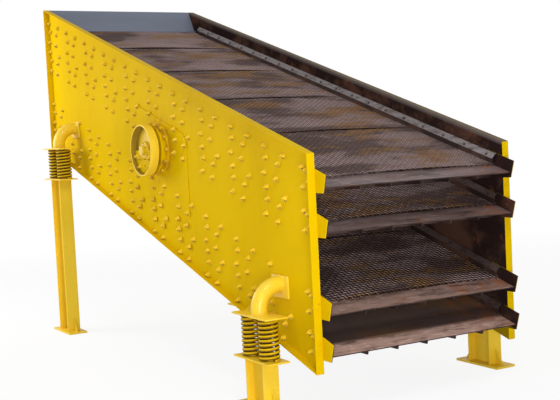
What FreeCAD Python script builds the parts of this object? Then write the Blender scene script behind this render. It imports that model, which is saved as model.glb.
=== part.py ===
"""Inclined four-deck vibrating screen, nominal 1.8 m x 6.0 m, on eight coil springs.

Millimetres. +X points to the discharge end, Y runs across the decks, +Z up.
The origin is on the ground, under the middle of the machine's length and width.
Left is the -Y side, the one on the left when the discharge end is seen from in front.
"""
import FreeCAD, Part
import math
import os
import re

import Sketcher

os.makedirs("parts", exist_ok=True)
doc = FreeCAD.newDocument("VibratingScreen")
Vector = FreeCAD.Vector

# Driving dimensions
SIZES = [
    ("deck_angle", 16.85, "slope of decks and side plates, degrees"),
    ("screen_length", 6000, "side plate along the slope"),
    ("plate_height", 1660, "side plate, vertical"),
    ("clear_width", 1840, "between the side plates"),
    ("corner_height", 1984, "ground to the top discharge corner of the plates"),
    ("plate_thick", 8, "side plate"),
    ("flange_width", 60, "flange turned outward round the side plate"),
    ("flange_thick", 8, "the same flange, through its sheet"),
    ("deck_depth_1", 202, "top of mesh 1 under the plates' top edge, square to the slope"),
    ("deck_depth_2", 520, "top of mesh 2"),
    ("deck_depth_3", 1109, "top of mesh 3"),
    ("deck_depth_4", 1408, "top of mesh 4"),
    ("mesh_thick", 12, "woven mesh over both wires"),
    ("mesh_side_gap", 15, "mesh edge to side plate"),
    ("mesh_seam", 6, "gap between two mesh panels"),
    ("mesh_lap", 45, "mesh over the discharge lip"),
    ("panel_count", 5, "mesh panels on each deck"),
    ("grid_across", 6, "openings across a panel, which stand for the holes of the weave"),
    ("grid_along", 2, "openings along a panel"),
    ("grid_rib", 60, "between two openings, and round them"),
    ("bar_count", 7, "support bars under each mesh"),
    ("bar_side", 65, "side plate to the middle of the outermost bars"),
    ("bar_thick", 12, "support bar"),
    ("bar_tall", 30, "support bar"),
    ("beam_first", 628, "discharge end of the plates to the first cross beam, level"),
    ("beam_last", 155.4, "last cross beam to the feed end of the plates, level"),
    ("beam_count", 10, "cross beams of decks 1, 3 and 4"),
    ("beam_before_exciter", 4, "cross beams of deck 2 below the exciter tube"),
    ("beam_tall", 100, "H section"),
    ("beam_wide", 80, "H section"),
    ("beam_web", 6, "H section"),
    ("beam_flange", 8, "H section"),
    ("end_plate_long", 240, "bolted plate at a beam's end, along the slope"),
    ("end_plate_tall", 158, "bolted plate at a beam's end"),
    ("end_plate_thick", 12, "bolted plate at a beam's end"),
    ("end_plate_gap", 1, "under the mesh"),
    ("cheek_reach", 140, "cheek tip beyond the side plates, level"),
    ("cheek_rise", 88, "cheek above the mesh top"),
    ("cheek_drop", 55, "cheek front edge below the mesh top"),
    ("cheek_back", 330, "cheek tip to its inner end"),
    ("cheek_level", 150, "level stretch of the cheek's lower edge"),
    ("cheek_thick", 12, "cheek plate"),
    ("lip_thick", 10, "discharge lip plate"),
    ("lip_back", 110, "lip behind the side plates' end line"),
    ("lip_short", 12, "lip edge behind the cheek's front edge"),
    ("lip_beam_tall", 112, "upright plate under the lip's back edge"),
    ("rib_count", 5, "ribs under a lip"),
    ("rib_thick", 10, "rib under a lip"),
    ("rib_toe", 12, "rib's toe behind the lip's edge"),
    ("side_fit", 1, "loose fit between two bolted side pieces"),
    ("rail_tall", 88, "clamp rail above the mesh"),
    ("rail_tip", 44, "lower edge of the clamp rail's leaning face above the mesh"),
    ("rail_lean", 40, "how far the clamp rail leans over the mesh"),
    ("rail_edge", 8, "top edge of the clamp rail"),
    ("rail_thick", 10, "clamp rail sheet, level"),
    ("rail_end", 90, "clamp rail's end before the plates' end line"),
    ("chute_foot", 60, "foot of the feed plate on mesh 1"),
    ("chute_thick", 8, "feed plate"),
    ("chute_angle", 45, "feed plate to the deck, degrees"),
    ("chute_inset", 3, "feed plate's top edge inside the feed end"),
    ("exciter_ahead", 92.2, "exciter axis past the place of the cross beam that it stands in for, level"),
    ("exciter_depth", 742, "exciter axis under the top edge, square to the slope"),
    ("doubler_half", 590, "half length of the stiffening plate, level"),
    ("doubler_top", 475, "top of the stiffening plate under the top edge, vertical"),
    ("doubler_bottom", 1225, "bottom of the stiffening plate, vertical"),
    ("doubler_cut", 62, "cut corner of the stiffening plate"),
    ("doubler_thick", 10, "stiffening plate"),
    ("spigot_radius", 156, "housing through the side plate"),
    ("spigot_fit", 1, "round the spigot"),
    ("spigot_in", 35, "spigot inside the side plate"),
    ("housing_flange_radius", 250, "bearing housing"),
    ("housing_flange_thick", 25, "bearing housing"),
    ("housing_barrel_radius", 205, "bearing housing"),
    ("housing_barrel_long", 37, "barrel in front of its flange"),
    ("housing_bolts", 12, "round each housing flange"),
    ("housing_bolt_circle", 228, "radius of the bolt circle"),
    ("bolt_flats", 36, "hexagon head across its flats"),
    ("bolt_head", 15, "height of a hexagon head"),
    ("cover_bolts", 8, "round each bearing cover"),
    ("cover_bolt_circle", 176, "radius of the bolt circle"),
    ("cover_bolt_flats", 24, "hexagon head across its flats"),
    ("cover_bolt_head", 10, "height of a hexagon head"),
    ("cover_radius", 238, "bearing cover"),
    ("cover_thick", 18, "bearing cover"),
    ("tube_wall", 8, "exciter tube"),
    ("tube_fit", 1, "tube round the spigot"),
    ("bearing_outside", 130, "outer ring radius"),
    ("bearing_wide", 86, "both rings"),
    ("bearing_fit", 0.05, "ring in its seat, and roller to ring"),
    ("ring_thick_out", 18, "outer ring"),
    ("roller_radius", 19, "bearing roller"),
    ("roller_long", 58, "bearing roller"),
    ("roller_count", 12, "rollers in one bearing"),
    ("shoulder", 18, "step that the outer ring seats on"),
    ("journal_radius", 60, "shaft in the bearings"),
    ("shaft_gap", 2, "shaft to the covers"),
    ("throw_radius", 85, "thick middle of the shaft"),
    ("throw_offset", 22, "its centre off the turning axis"),
    ("throw_gap", 65, "thick middle of the shaft to the housings"),
    ("stub_radius", 45, "drive end of the shaft"),
    ("stub_long", 28, "drive end in front of the hub"),
    ("drum_radius", 245, "flywheel drum"),
    ("drum_deep", 84, "flywheel drum"),
    ("drum_wall", 15, "flywheel rim"),
    ("drum_web", 16, "flywheel's back plate"),
    ("drum_gap", 28, "bearing cover to drum"),
    ("hub_radius", 82, "flywheel hub"),
    ("hub_long", 36, "flywheel hub in front of the back plate"),
    ("weight_radius", 222, "counterweight segment"),
    ("weight_inner", 90, "counterweight segment"),
    ("weight_thick", 30, "counterweight segment"),
    ("weight_hole", 13, "lifting hole through the counterweight"),
    ("weight_hole_at", 150, "its distance from the axis"),
    ("leg_run_discharge", 565, "plates' discharge end to the leg's middle, level"),
    ("leg_run_feed", 5030, "the same for the feed legs"),
    ("leg_out", 212, "outer face of the side plates to the legs' middle"),
    ("leg_deep", 280, "H section leg along X"),
    ("leg_wide", 140, "H section leg along Y"),
    ("leg_web", 10, "H section leg"),
    ("leg_flange", 14, "H section leg"),
    ("base_long", 540, "base plate"),
    ("base_wide", 210, "base plate"),
    ("base_thick", 20, "base plate"),
    ("base_hole", 11, "radius of an anchor hole"),
    ("base_hole_x", 450, "anchor holes along X"),
    ("base_hole_y", 140, "anchor holes along Y"),
    ("gusset_tall", 150, "triangular gusset on the base"),
    ("gusset_long", 105, "triangular gusset on the base"),
    ("gusset_thick", 12, "triangular gusset on the base"),
    ("seat_long", 550, "spring seat plate"),
    ("seat_wide", 200, "spring seat plate"),
    ("seat_thick", 14, "spring seat plate"),
    ("seat_height_discharge", 395, "ground to the top of the lower seats"),
    ("seat_height_feed", 1745, "the same for the feed legs"),
    ("spring_height", 330, "between the seats, with the machine at rest"),
    ("spring_pitch", 270, "between the two springs of a pair"),
    ("coil_radius", 71, "centre of the wire"),
    ("wire_radius", 12.5, "spring wire"),
    ("coil_turns", 10, "turns, both closed ends included"),
    ("coil_steps", 8, "straight steps in one turn"),
    ("wire_sides", 4, "sides of the wire's section"),
    ("spring_guide_side", 80, "square guide inside each end of a spring"),
    ("spring_guide_tall", 26, "square guide inside each end of a spring"),
    ("seat_fit", 0.3, "spring end to seat, and between two touching turns"),
    ("pipe_radius", 66, "elbow from the upper seat to the side plate"),
    ("pipe_bend", 158, "elbow's centre line radius"),
    ("pipe_rise", 215, "upper seat's top to the level axis of the elbow"),
    ("pad_long", 250, "pad of the elbow on the side plate"),
    ("pad_tall", 220, "pad of the elbow on the side plate"),
    ("pad_thick", 16, "pad of the elbow on the side plate"),
]

sheet = doc.addObject("Spreadsheet::Sheet", "Sizes")
for row, (alias, number, meaning) in enumerate(SIZES, start=1):
    sheet.set(f"A{row}", meaning)
    sheet.set(f"B{row}", str(number))
    sheet.setAlias(f"B{row}", alias)
doc.recompute()
ALIASES = re.compile(r"\b(" + "|".join(alias for alias, _, _ in SIZES) + r")\b")

# Places worked out from the driving dimensions
LEVEL_LENGTH = "(screen_length * cos(deck_angle))"
END_X = f"(({LEVEL_LENGTH} - cheek_reach) / 2)"
FEED_X = f"({END_X} - {LEVEL_LENGTH})"
BEAM_PITCH = f"(({LEVEL_LENGTH} - beam_first - beam_last) / (beam_count - 1))"
BAR_PITCH = "((clear_width - 2 * bar_side) / (bar_count - 1))"
EXCITER_RUN = f"(beam_first + beam_before_exciter * {BEAM_PITCH} - exciter_ahead)"
EXCITER_X = f"({END_X} - {EXCITER_RUN})"
EXCITER_Z = f"(corner_height + {EXCITER_RUN} * tan(deck_angle) - exciter_depth / cos(deck_angle))"
DECKS = (1, 2, 3, 4)
# Deck 4 carries fine cloth, and the others wire that light falls through
COARSE_DECKS = (1, 2, 3)
# A side's sign along Y
SIDES = {"left": -1, "right": 1}
# Each corner's leg: its run from the discharge end and its lower seat's height
CORNERS = {"discharge": ("leg_run_discharge", "seat_height_discharge"),
           "feed": ("leg_run_feed", "seat_height_feed")}

nodes = []


def value(formula):
    """The number that a formula of the driving dimensions gives now."""
    return float(sheet.evalExpression(str(formula)))


def bind(thing, path, formula):
    """Bind one property of an object to a formula of the driving dimensions."""
    thing.setExpression(path, ALIASES.sub(r"Sizes.\1", str(formula)))


def place(thing, x="0", y="0", z="0", tilted=False):
    """Put an object at a place, tilted down towards the discharge end where asked."""
    angle = value("deck_angle") if tilted else 0
    turn = FreeCAD.Rotation(Vector(0, 1, 0), angle)
    thing.Placement = FreeCAD.Placement(Vector(value(x), value(y), value(z)), turn)
    for axis, formula in (("x", x), ("y", y), ("z", z)):
        bind(thing, f"Placement.Base.{axis}", formula)
    if tilted:
        bind(thing, "Placement.Rotation.Angle", "deck_angle")


def new_body(name, x="0", y="0", z="0", tilted=False):
    """A body for one node."""
    body = doc.addObject("PartDesign::Body", name)
    body.Label = name
    body.AllowCompound = True
    place(body, x, y, z, tilted)
    nodes.append(body)
    return body


def deck_body(name):
    """A body with x down the slope from the top discharge corner and z square to the decks."""
    return new_body(name, END_X, "0", "corner_height", tilted=True)


def sketch(body, plane, loops, lift="0"):
    """A sketch of closed polygons and circles, each size bound, lifted along the plane's normal."""
    drawing = body.newObject("Sketcher::SketchObject", f"{body.Name}_sketch")
    planes = {feature.Role: feature for feature in body.Origin.OriginFeatures}
    drawing.AttachmentSupport = [(planes[plane], "")]
    drawing.MapMode = "FlatFace"
    drawing.AttachmentOffset = FreeCAD.Placement(Vector(0, 0, value(lift)), FreeCAD.Rotation())
    bind(drawing, "AttachmentOffset.Base.z", lift)
    for loop in loops:
        if loop[0] == "circle":
            draw_circle(drawing, *loop[1:])
        else:
            draw_polygon(drawing, loop)
    return drawing


def fix_point(drawing, index, position, x, y):
    """Hold one point of the sketch at its bound place."""
    for kind, formula in (("DistanceX", x), ("DistanceY", y)):
        rule = Sketcher.Constraint(kind, -1, 1, index, position, value(formula))
        number = drawing.addConstraint(rule)
        bind(drawing, f"Constraints[{number}]", formula)


def draw_circle(drawing, x, y, radius):
    """A circle with its centre and radius bound."""
    shape = Part.Circle(Vector(value(x), value(y), 0), Vector(0, 0, 1), value(radius))
    index = drawing.addGeometry(shape, False)
    fix_point(drawing, index, 3, x, y)
    number = drawing.addConstraint(Sketcher.Constraint("Radius", index, value(radius)))
    bind(drawing, f"Constraints[{number}]", radius)


def draw_polygon(drawing, points):
    """A closed outline of straight lines through bound points."""
    corners = [Vector(value(x), value(y), 0) for x, y in points]
    following = corners[1:] + corners[:1]
    lines = [Part.LineSegment(a, b) for a, b in zip(corners, following)]
    first = drawing.addGeometry(lines, False)[0]
    for step in range(len(points)):
        after = first + (step + 1) % len(points)
        drawing.addConstraint(Sketcher.Constraint("Coincident", first + step, 2, after, 1))
        fix_point(drawing, first + step, 1, *points[step])


def rectangle(x, y, wide, tall):
    """The corners of a rectangle about a centre."""
    return [(f"{x} - {wide} / 2", f"{y} - {tall} / 2"), (f"{x} + {wide} / 2", f"{y} - {tall} / 2"),
            (f"{x} + {wide} / 2", f"{y} + {tall} / 2"), (f"{x} - {wide} / 2", f"{y} + {tall} / 2")]


def h_outline(x, y, deep, wide, web, flange, flanges_on_x):
    """The twelve corners of an H section, its flanges facing the sketch's x or y."""
    half_deep, half_wide, half_web = f"{deep} / 2", f"{wide} / 2", f"{web} / 2"
    inner = f"({deep} / 2 - {flange})"
    quarter = [(half_web, inner), (half_wide, inner), (half_wide, half_deep)]
    corners = []
    for sign_a, sign_b, order in ((1, 1, 1), (-1, 1, -1), (-1, -1, 1), (1, -1, -1)):
        corners += [(sign_a, a, sign_b, b) for a, b in quarter[::order]]
    if flanges_on_x:
        return [(f"{x} + {sb} * {b}", f"{y} + {sa} * {a}") for sa, a, sb, b in corners]
    return [(f"{x} + {sa} * {a}", f"{y} + {sb} * {b}") for sa, a, sb, b in corners]


def pad(body, drawing, length, side="One side", turned=False):
    """Thicken a sketch."""
    feature = body.newObject("PartDesign::Pad", f"{body.Name}_pad")
    feature.Profile = drawing
    feature.SideType = side
    feature.Reversed = turned
    bind(feature, "Length", length)
    return feature


def cut_through(body, drawing):
    """Cut a sketch both ways through the body."""
    feature = body.newObject("PartDesign::Pocket", f"{body.Name}_cut")
    feature.Profile = drawing
    feature.SideType = "Symmetric"
    feature.Type = "ThroughAll"
    return feature


def revolve(body, drawing, angle="360", axis="V_Axis", turned=False):
    """Turn a sketch about a line of its own."""
    feature = body.newObject("PartDesign::Revolution", f"{body.Name}_turn")
    feature.Profile = drawing
    feature.ReferenceAxis = (drawing, [axis])
    feature.Reversed = turned
    bind(feature, "Angle", angle)
    return feature


def repeat(body, features, drawing, axis, length, count, turned=False):
    """Repeat features in a row along an axis of a sketch."""
    feature = body.newObject("PartDesign::LinearPattern", f"{body.Name}_row")
    feature.Originals = features
    feature.Direction = (drawing, [axis])
    feature.Reversed = turned
    bind(feature, "Length", length)
    bind(feature, "Occurrences", count)
    body.Tip = feature
    return feature


def ring(body, features, drawing, count):
    """Repeat features round the normal of a sketch."""
    feature = body.newObject("PartDesign::PolarPattern", f"{body.Name}_ring")
    feature.Originals = features
    feature.Axis = (drawing, ["N_Axis"])
    feature.Angle = 360
    bind(feature, "Occurrences", count)
    body.Tip = feature
    return feature


def add_side_plate(side):
    """Plate and the flange turned outward round its four edges, holed for the exciter."""
    sign = SIDES[side]
    body = new_body(f"side_plate_{side}", y=f"{sign} * clear_width / 2")
    slope = "tan(deck_angle)"

    def outline(inset):
        top = f"corner_height - {inset} / cos(deck_angle)"
        low = f"corner_height - plate_height + {inset} / cos(deck_angle)"
        near, far = f"{END_X} - {inset}", f"{FEED_X} + {inset}"
        rise = f"({LEVEL_LENGTH} - {inset}) * {slope}"
        return [(near, f"{low} + {inset} * {slope}"), (near, f"{top} + {inset} * {slope}"),
                (far, f"{top} + {rise}"), (far, f"{low} + {rise}")]

    hole = ("circle", EXCITER_X, EXCITER_Z, "spigot_radius + spigot_fit")
    sheet_sketch = sketch(body, "XZ_Plane", [outline("0"), hole])
    pad(body, sheet_sketch, "plate_thick", turned=sign > 0)
    flange_sketch = sketch(body, "XZ_Plane", [outline("0"), outline("flange_thick")])
    pad(body, flange_sketch, "plate_thick + flange_width", turned=sign > 0)


def add_doubler(side):
    """Stiffening plate on the outside of the side plate, round the exciter."""
    sign = SIDES[side]
    body = new_body(f"exciter_doubler_{side}", y=f"{sign} * (clear_width / 2 + plate_thick)")

    def edge(x, depth):
        return (x, f"corner_height + ({END_X} - ({x})) * tan(deck_angle) - ({depth})")

    near, far = f"{EXCITER_X} + doubler_half", f"{EXCITER_X} - doubler_half"
    points = [edge(near, "doubler_bottom"), edge(near, "doubler_top + doubler_cut"),
              edge(f"{near} - doubler_cut", "doubler_top"), edge(f"{far} + doubler_cut", "doubler_top"),
              edge(far, "doubler_top + doubler_cut"), edge(far, "doubler_bottom")]
    hole = ("circle", EXCITER_X, EXCITER_Z, "spigot_radius + spigot_fit")
    drawing = sketch(body, "XZ_Plane", [points, hole])
    pad(body, drawing, "doubler_thick", turned=sign > 0)


def beam_x(number, depth):
    """Down-slope place of a cross beam, so that the beams of all decks stand above one another."""
    return f"(({depth}) * sin(deck_angle) - beam_first - {number} * {BEAM_PITCH}) / cos(deck_angle)"


def add_cross_beams(deck):
    """H section beams between the side plates, each with a bolted plate at both ends."""
    body = deck_body(f"cross_beams_deck_{deck}")
    top = f"(deck_depth_{deck} + mesh_thick)"
    depth = f"({top} + end_plate_gap + end_plate_tall / 2)"
    runs = [("0", "beam_count")]
    if deck == 2:
        runs = [("0", "beam_before_exciter"),
                ("(beam_before_exciter + 1)", "beam_count - beam_before_exciter - 1")]
    for start, count in runs:
        x = beam_x(start, depth)
        middle = f"-({top} + bar_tall + beam_tall / 2)"
        section = h_outline(x, middle, "beam_tall", "beam_wide", "beam_web", "beam_flange", False)
        beam_sketch = sketch(body, "XZ_Plane", [section])
        made = [pad(body, beam_sketch, "clear_width - 2 * end_plate_thick", side="Symmetric")]
        for sign in SIDES.values():
            plate = rectangle(x, f"-{depth}", "end_plate_long", "end_plate_tall")
            lift = f"{-sign} * (clear_width / 2 - end_plate_thick)"
            plate_sketch = sketch(body, "XZ_Plane", [plate], lift)
            made.append(pad(body, plate_sketch, "end_plate_thick", turned=sign > 0))
        length = f"({count} - 1) * {BEAM_PITCH} / cos(deck_angle)"
        repeat(body, made, beam_sketch, "H_Axis", length, count, turned=True)


def deck_end(deck):
    """Down-slope place of the plates' upright discharge end at a deck's depth."""
    return f"deck_depth_{deck} * tan(deck_angle)"


def mesh_start(deck):
    """Down-slope place of the mesh's feed end."""
    return f"({deck_end(deck)} - screen_length + flange_width)"


def add_support_bars(deck):
    """Flat bars along the deck, on the cross beams and under the mesh."""
    body = deck_body(f"support_bars_deck_{deck}")
    low, high = mesh_start(deck), f"({deck_end(deck)} - lip_back)"
    x, long = f"({low} + {high}) / 2", f"({high} - {low})"
    z = f"-(deck_depth_{deck} + mesh_thick + bar_tall / 2)"
    drawing = sketch(body, "XZ_Plane", [rectangle(x, z, long, "bar_tall")],
                     f"(bar_count - 1) * {BAR_PITCH} / 2")
    bar = pad(body, drawing, "bar_thick", side="Symmetric")
    repeat(body, [bar], drawing, "N_Axis", f"(bar_count - 1) * {BAR_PITCH}", "bar_count", turned=True)


def add_mesh(deck):
    """Woven wire panels of one deck: sheets with a coarse grid of openings, plain for fine cloth."""
    body = deck_body(f"screen_mesh_deck_{deck}")
    low, high = mesh_start(deck), f"({deck_end(deck)} - lip_back + mesh_lap)"
    pitch = f"(({high} - {low} + mesh_seam) / panel_count)"
    long, wide = f"({pitch} - mesh_seam)", "(clear_width - 2 * mesh_side_gap)"
    step_x, step_y = f"(({long} - grid_rib) / grid_along)", f"(({wide} - grid_rib) / grid_across)"
    outlines = [rectangle(f"{low} + {long} / 2", "0", long, wide)]
    for row in range(int(value("grid_along")) if deck in COARSE_DECKS else 0):
        x = f"{low} + grid_rib / 2 + ({row} + 0.5) * {step_x}"
        for column in range(int(value("grid_across"))):
            y = f"({column} + 0.5 - grid_across / 2) * {step_y}"
            outlines.append(rectangle(x, y, f"({step_x} - grid_rib)", f"({step_y} - grid_rib)"))
    drawing = sketch(body, "XY_Plane", outlines, f"-(deck_depth_{deck} + mesh_thick)")
    made = pad(body, drawing, "mesh_thick")
    repeat(body, [made], drawing, "H_Axis", f"(panel_count - 1) * {pitch}", "panel_count")


def add_clamp_rails(deck):
    """Bent strip bolted along each side, its leg on the mesh and its face leaning to the plate."""
    body = deck_body(f"clamp_rails_deck_{deck}")
    low = f"({mesh_start(deck)} + deck_depth_1 / tan(chute_angle) + chute_foot)"
    high = f"({deck_end(deck)} - rail_end)"
    base = f"-deck_depth_{deck}"
    for sign in SIDES.values():
        outer = "(clear_width / 2 - cheek_thick - side_fit)"
        tip = f"({outer} - rail_lean)"
        rise = "((rail_tall - rail_tip) / (rail_lean - rail_edge))"
        leg = f"({tip} + rail_thick)"
        points = [(leg, base), (f"{leg} + rail_thick", base),
                  (f"{leg} + rail_thick", f"{base} + rail_tip + rail_thick * {rise}"),
                  (outer, f"{base} + rail_tip + (rail_lean - rail_thick) * {rise}"),
                  (outer, f"{base} + rail_tall"), (f"{outer} - rail_edge", f"{base} + rail_tall"),
                  (tip, f"{base} + rail_tip"), (leg, f"{base} + rail_tip")]
        section = [(f"{sign} * ({y})", z) for y, z in points]
        drawing = sketch(body, "YZ_Plane", [section], low)
        pad(body, drawing, f"{high} - {low}")


def cheek_front(deck):
    """Down-slope place of a cheek's front edge."""
    depth = f"(deck_depth_{deck} - cheek_rise)"
    return f"((cheek_reach + {depth} * sin(deck_angle)) / cos(deck_angle))"


def add_lip(deck):
    """Discharge lip: plate, upright plate under its back edge and ribs with a level lower edge."""
    body = deck_body(f"discharge_lip_{deck}")
    top = f"-(deck_depth_{deck} + mesh_thick)"
    under = f"({top} - lip_thick)"
    back, front = f"({deck_end(deck)} - lip_back)", f"({cheek_front(deck)} - lip_short)"
    heel = f"({back} + lip_thick)"
    section = [(back, top), (front, top), (front, under), (heel, under),
               (heel, f"{top} - lip_beam_tall"), (back, f"{top} - lip_beam_tall")]
    plate_sketch = sketch(body, "XZ_Plane", [section])
    pad(body, plate_sketch, "clear_width - 2 * (cheek_thick + side_fit)", side="Symmetric")
    toe = f"({front} - rib_toe)"
    low = f"-(deck_depth_{deck} + cheek_drop)"
    rib = [(heel, under), (toe, under), (toe, low), (heel, f"{low} - ({toe} - {heel}) * tan(deck_angle)")]
    rib_sketch = sketch(body, "XZ_Plane", [rib], f"(rib_count - 1) * {BAR_PITCH} / 2")
    made = pad(body, rib_sketch, "rib_thick", side="Symmetric")
    repeat(body, [made], rib_sketch, "N_Axis", f"(rib_count - 1) * {BAR_PITCH}", "rib_count", turned=True)


def add_cheeks(side):
    """Cheek plates inside the side plate, one for each deck, with their tips past its end."""
    sign = SIDES[side]
    body = deck_body(f"discharge_cheeks_{side}")
    for deck in DECKS:
        front = cheek_front(deck)
        top = f"-(deck_depth_{deck} - cheek_rise)"
        low = f"-(deck_depth_{deck} + cheek_drop)"
        heel = f"({front} - cheek_level * cos(deck_angle))"
        deep = f"({low} - cheek_level * sin(deck_angle))"
        back = f"({front} - cheek_back)"
        points = [(back, top), (front, top), (front, low), (heel, deep), (back, deep)]
        lift = f"{-sign} * (clear_width / 2 - cheek_thick)"
        drawing = sketch(body, "XZ_Plane", [points], lift)
        pad(body, drawing, "cheek_thick", turned=sign > 0)


def add_feed_plate():
    """Chute plate that closes the feed end above deck 1, with a foot on the mesh."""
    body = deck_body("feed_plate")
    back = "(chute_inset - screen_length)"
    face = f"({back} + chute_thick / sin(chute_angle))"
    drop = "(deck_depth_1 - chute_thick)"
    foot = f"({face} + {drop} / tan(chute_angle))"
    points = [(back, "0"), (face, "0"), (foot, f"-{drop}"), (f"{foot} + chute_foot", f"-{drop}"),
              (f"{foot} + chute_foot", "-deck_depth_1"),
              (f"{back} + deck_depth_1 / tan(chute_angle)", "-deck_depth_1")]
    drawing = sketch(body, "XZ_Plane", [points])
    pad(body, drawing, "clear_width - 2 * side_fit", side="Symmetric")


def exciter_body(name):
    """A body on the exciter's axis, which runs along Y."""
    return new_body(name, EXCITER_X, "0", EXCITER_Z)


def turned_piece(name, points, sign=1):
    """A piece revolved about the exciter's axis from (radius, place along Y) points."""
    body = exciter_body(name)
    drawing = sketch(body, "XY_Plane", [[(radius, f"{sign} * ({along})") for radius, along in points]])
    revolve(body, drawing)
    return body


# Places along the exciter's axis, outward from the machine's middle
PLATE_FACE = "(clear_width / 2 + plate_thick)"
DOUBLER_FACE = f"({PLATE_FACE} + doubler_thick)"
FLANGE_FACE = f"({DOUBLER_FACE} + housing_flange_thick)"
BARREL_FACE = f"({FLANGE_FACE} + housing_barrel_long)"
COVER_FACE = f"({BARREL_FACE} + cover_thick)"
DRUM_BACK = f"({COVER_FACE} + drum_gap)"
WEB_FACE = f"({DRUM_BACK} + drum_web)"
HUB_FACE = f"({WEB_FACE} + hub_long)"
SPIGOT_END = "(clear_width / 2 - spigot_in)"
RING_IN = f"({SPIGOT_END} + shoulder)"
RING_OUT = f"({RING_IN} + bearing_wide)"
OUTER_BORE = "(bearing_outside - ring_thick_out)"
ROLLER_CIRCLE = f"({OUTER_BORE} - bearing_fit - roller_radius)"
LEG_SIDE = f"({PLATE_FACE} + leg_out)"
# The elbow's level part: its height over the upper seat's underside and its reach to the pad
PIPE_LEVEL = "(seat_thick + pipe_rise)"
PIPE_REACH = "(leg_out - pad_thick)"


def add_exciter_tube():
    """Tube between the side plates, round the shaft."""
    inner = "(spigot_radius + tube_fit)"
    outer = f"({inner} + tube_wall)"
    half = "clear_width / 2"
    turned_piece("exciter_tube", [(inner, f"-{half}"), (outer, f"-{half}"), (outer, half), (inner, half)])


def add_housing(side):
    """Bearing housing: spigot through the plates, bolted flange, barrel and a bored seat."""
    turned_piece(f"bearing_housing_{side}",
                 [(OUTER_BORE, SPIGOT_END), ("spigot_radius", SPIGOT_END), ("spigot_radius", DOUBLER_FACE),
                  ("housing_flange_radius", DOUBLER_FACE), ("housing_flange_radius", FLANGE_FACE),
                  ("housing_barrel_radius", FLANGE_FACE), ("housing_barrel_radius", BARREL_FACE),
                  ("bearing_outside", BARREL_FACE), ("bearing_outside", RING_IN),
                  (OUTER_BORE, RING_IN)], SIDES[side])


def add_cover(side):
    """Round bearing cover with a spigot that holds the outer ring."""
    hole = "(journal_radius + shaft_gap)"
    rim = "(bearing_outside - bearing_fit)"
    stop = f"({RING_OUT} + bearing_fit)"
    turned_piece(f"bearing_cover_{side}",
                 [(hole, BARREL_FACE), (hole, COVER_FACE), ("cover_radius", COVER_FACE),
                  ("cover_radius", BARREL_FACE), (rim, BARREL_FACE), (rim, stop), (OUTER_BORE, stop),
                  (OUTER_BORE, BARREL_FACE)], SIDES[side])


def hexagon(x, y, flats):
    """The corners of a hexagon about a centre."""
    points = []
    for step in range(6):
        turn = 60 * step + 30
        points.append((f"{x} + {flats} / 2 / cos(30) * cos({turn})",
                       f"{y} + {flats} / 2 / cos(30) * sin({turn})"))
    return points


def add_bolts(side):
    """Heads of the bolts in the housing flange and the bearing cover."""
    sign = SIDES[side]
    body = exciter_body(f"housing_bolts_{side}")
    for circle, flats, head, count, face in (
            ("housing_bolt_circle", "bolt_flats", "bolt_head", "housing_bolts", FLANGE_FACE),
            ("cover_bolt_circle", "cover_bolt_flats", "cover_bolt_head", "cover_bolts", COVER_FACE)):
        drawing = sketch(body, "XZ_Plane", [hexagon(circle, "0", flats)], f"{-sign} * {face}")
        made = pad(body, drawing, head, turned=sign > 0)
        ring(body, [made], drawing, count)


def add_bearing(side):
    """Cylindrical roller bearing: outer ring, inner ring and one row of rollers."""
    sign = SIDES[side]
    inner_bore = "(journal_radius + bearing_fit)"
    inner_track = f"({ROLLER_CIRCLE} - roller_radius - bearing_fit)"
    outer = "(bearing_outside - bearing_fit)"
    turned_piece(f"bearing_outer_ring_{side}", [(OUTER_BORE, RING_IN), (outer, RING_IN), (outer, RING_OUT),
                                                (OUTER_BORE, RING_OUT)], sign)
    turned_piece(f"bearing_inner_ring_{side}", [(inner_bore, RING_IN), (inner_track, RING_IN),
                                                (inner_track, RING_OUT), (inner_bore, RING_OUT)], sign)
    rollers = exciter_body(f"bearing_rollers_{side}")
    middle = f"({RING_IN} + bearing_wide / 2)"
    drawing = sketch(rollers, "XZ_Plane", [("circle", ROLLER_CIRCLE, "0", "roller_radius")],
                     f"{-sign} * {middle}")
    made = pad(rollers, drawing, "roller_long", side="Symmetric")
    ring(rollers, [made], drawing, "roller_count")


def add_shaft():
    """Shaft with journals at both ends and a thick middle set off the turning axis."""
    journal = f"({HUB_FACE} + shaft_gap)"
    stub = f"({journal} + stub_long)"
    body = turned_piece("eccentric_shaft",
                        [("0", f"-{stub}"), ("stub_radius", f"-{stub}"), ("stub_radius", f"-{journal}"),
                         ("journal_radius", f"-{journal}"), ("journal_radius", journal),
                         ("stub_radius", journal), ("stub_radius", stub), ("0", stub)])
    middle = sketch(body, "XZ_Plane", [("circle", "0", "-throw_offset", "throw_radius")])
    pad(body, middle, f"2 * ({SPIGOT_END} - throw_gap)", side="Symmetric")


def add_flywheel(side):
    """Open drum: rim, back plate and hub."""
    front = f"({DRUM_BACK} + drum_deep)"
    bore = "(journal_radius + bearing_fit)"
    inside = "(drum_radius - drum_wall)"
    turned_piece(f"flywheel_{side}", [(bore, DRUM_BACK), ("drum_radius", DRUM_BACK), ("drum_radius", front),
                                      (inside, front), (inside, WEB_FACE), ("hub_radius", WEB_FACE),
                                      ("hub_radius", HUB_FACE), (bore, HUB_FACE)], SIDES[side])


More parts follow.
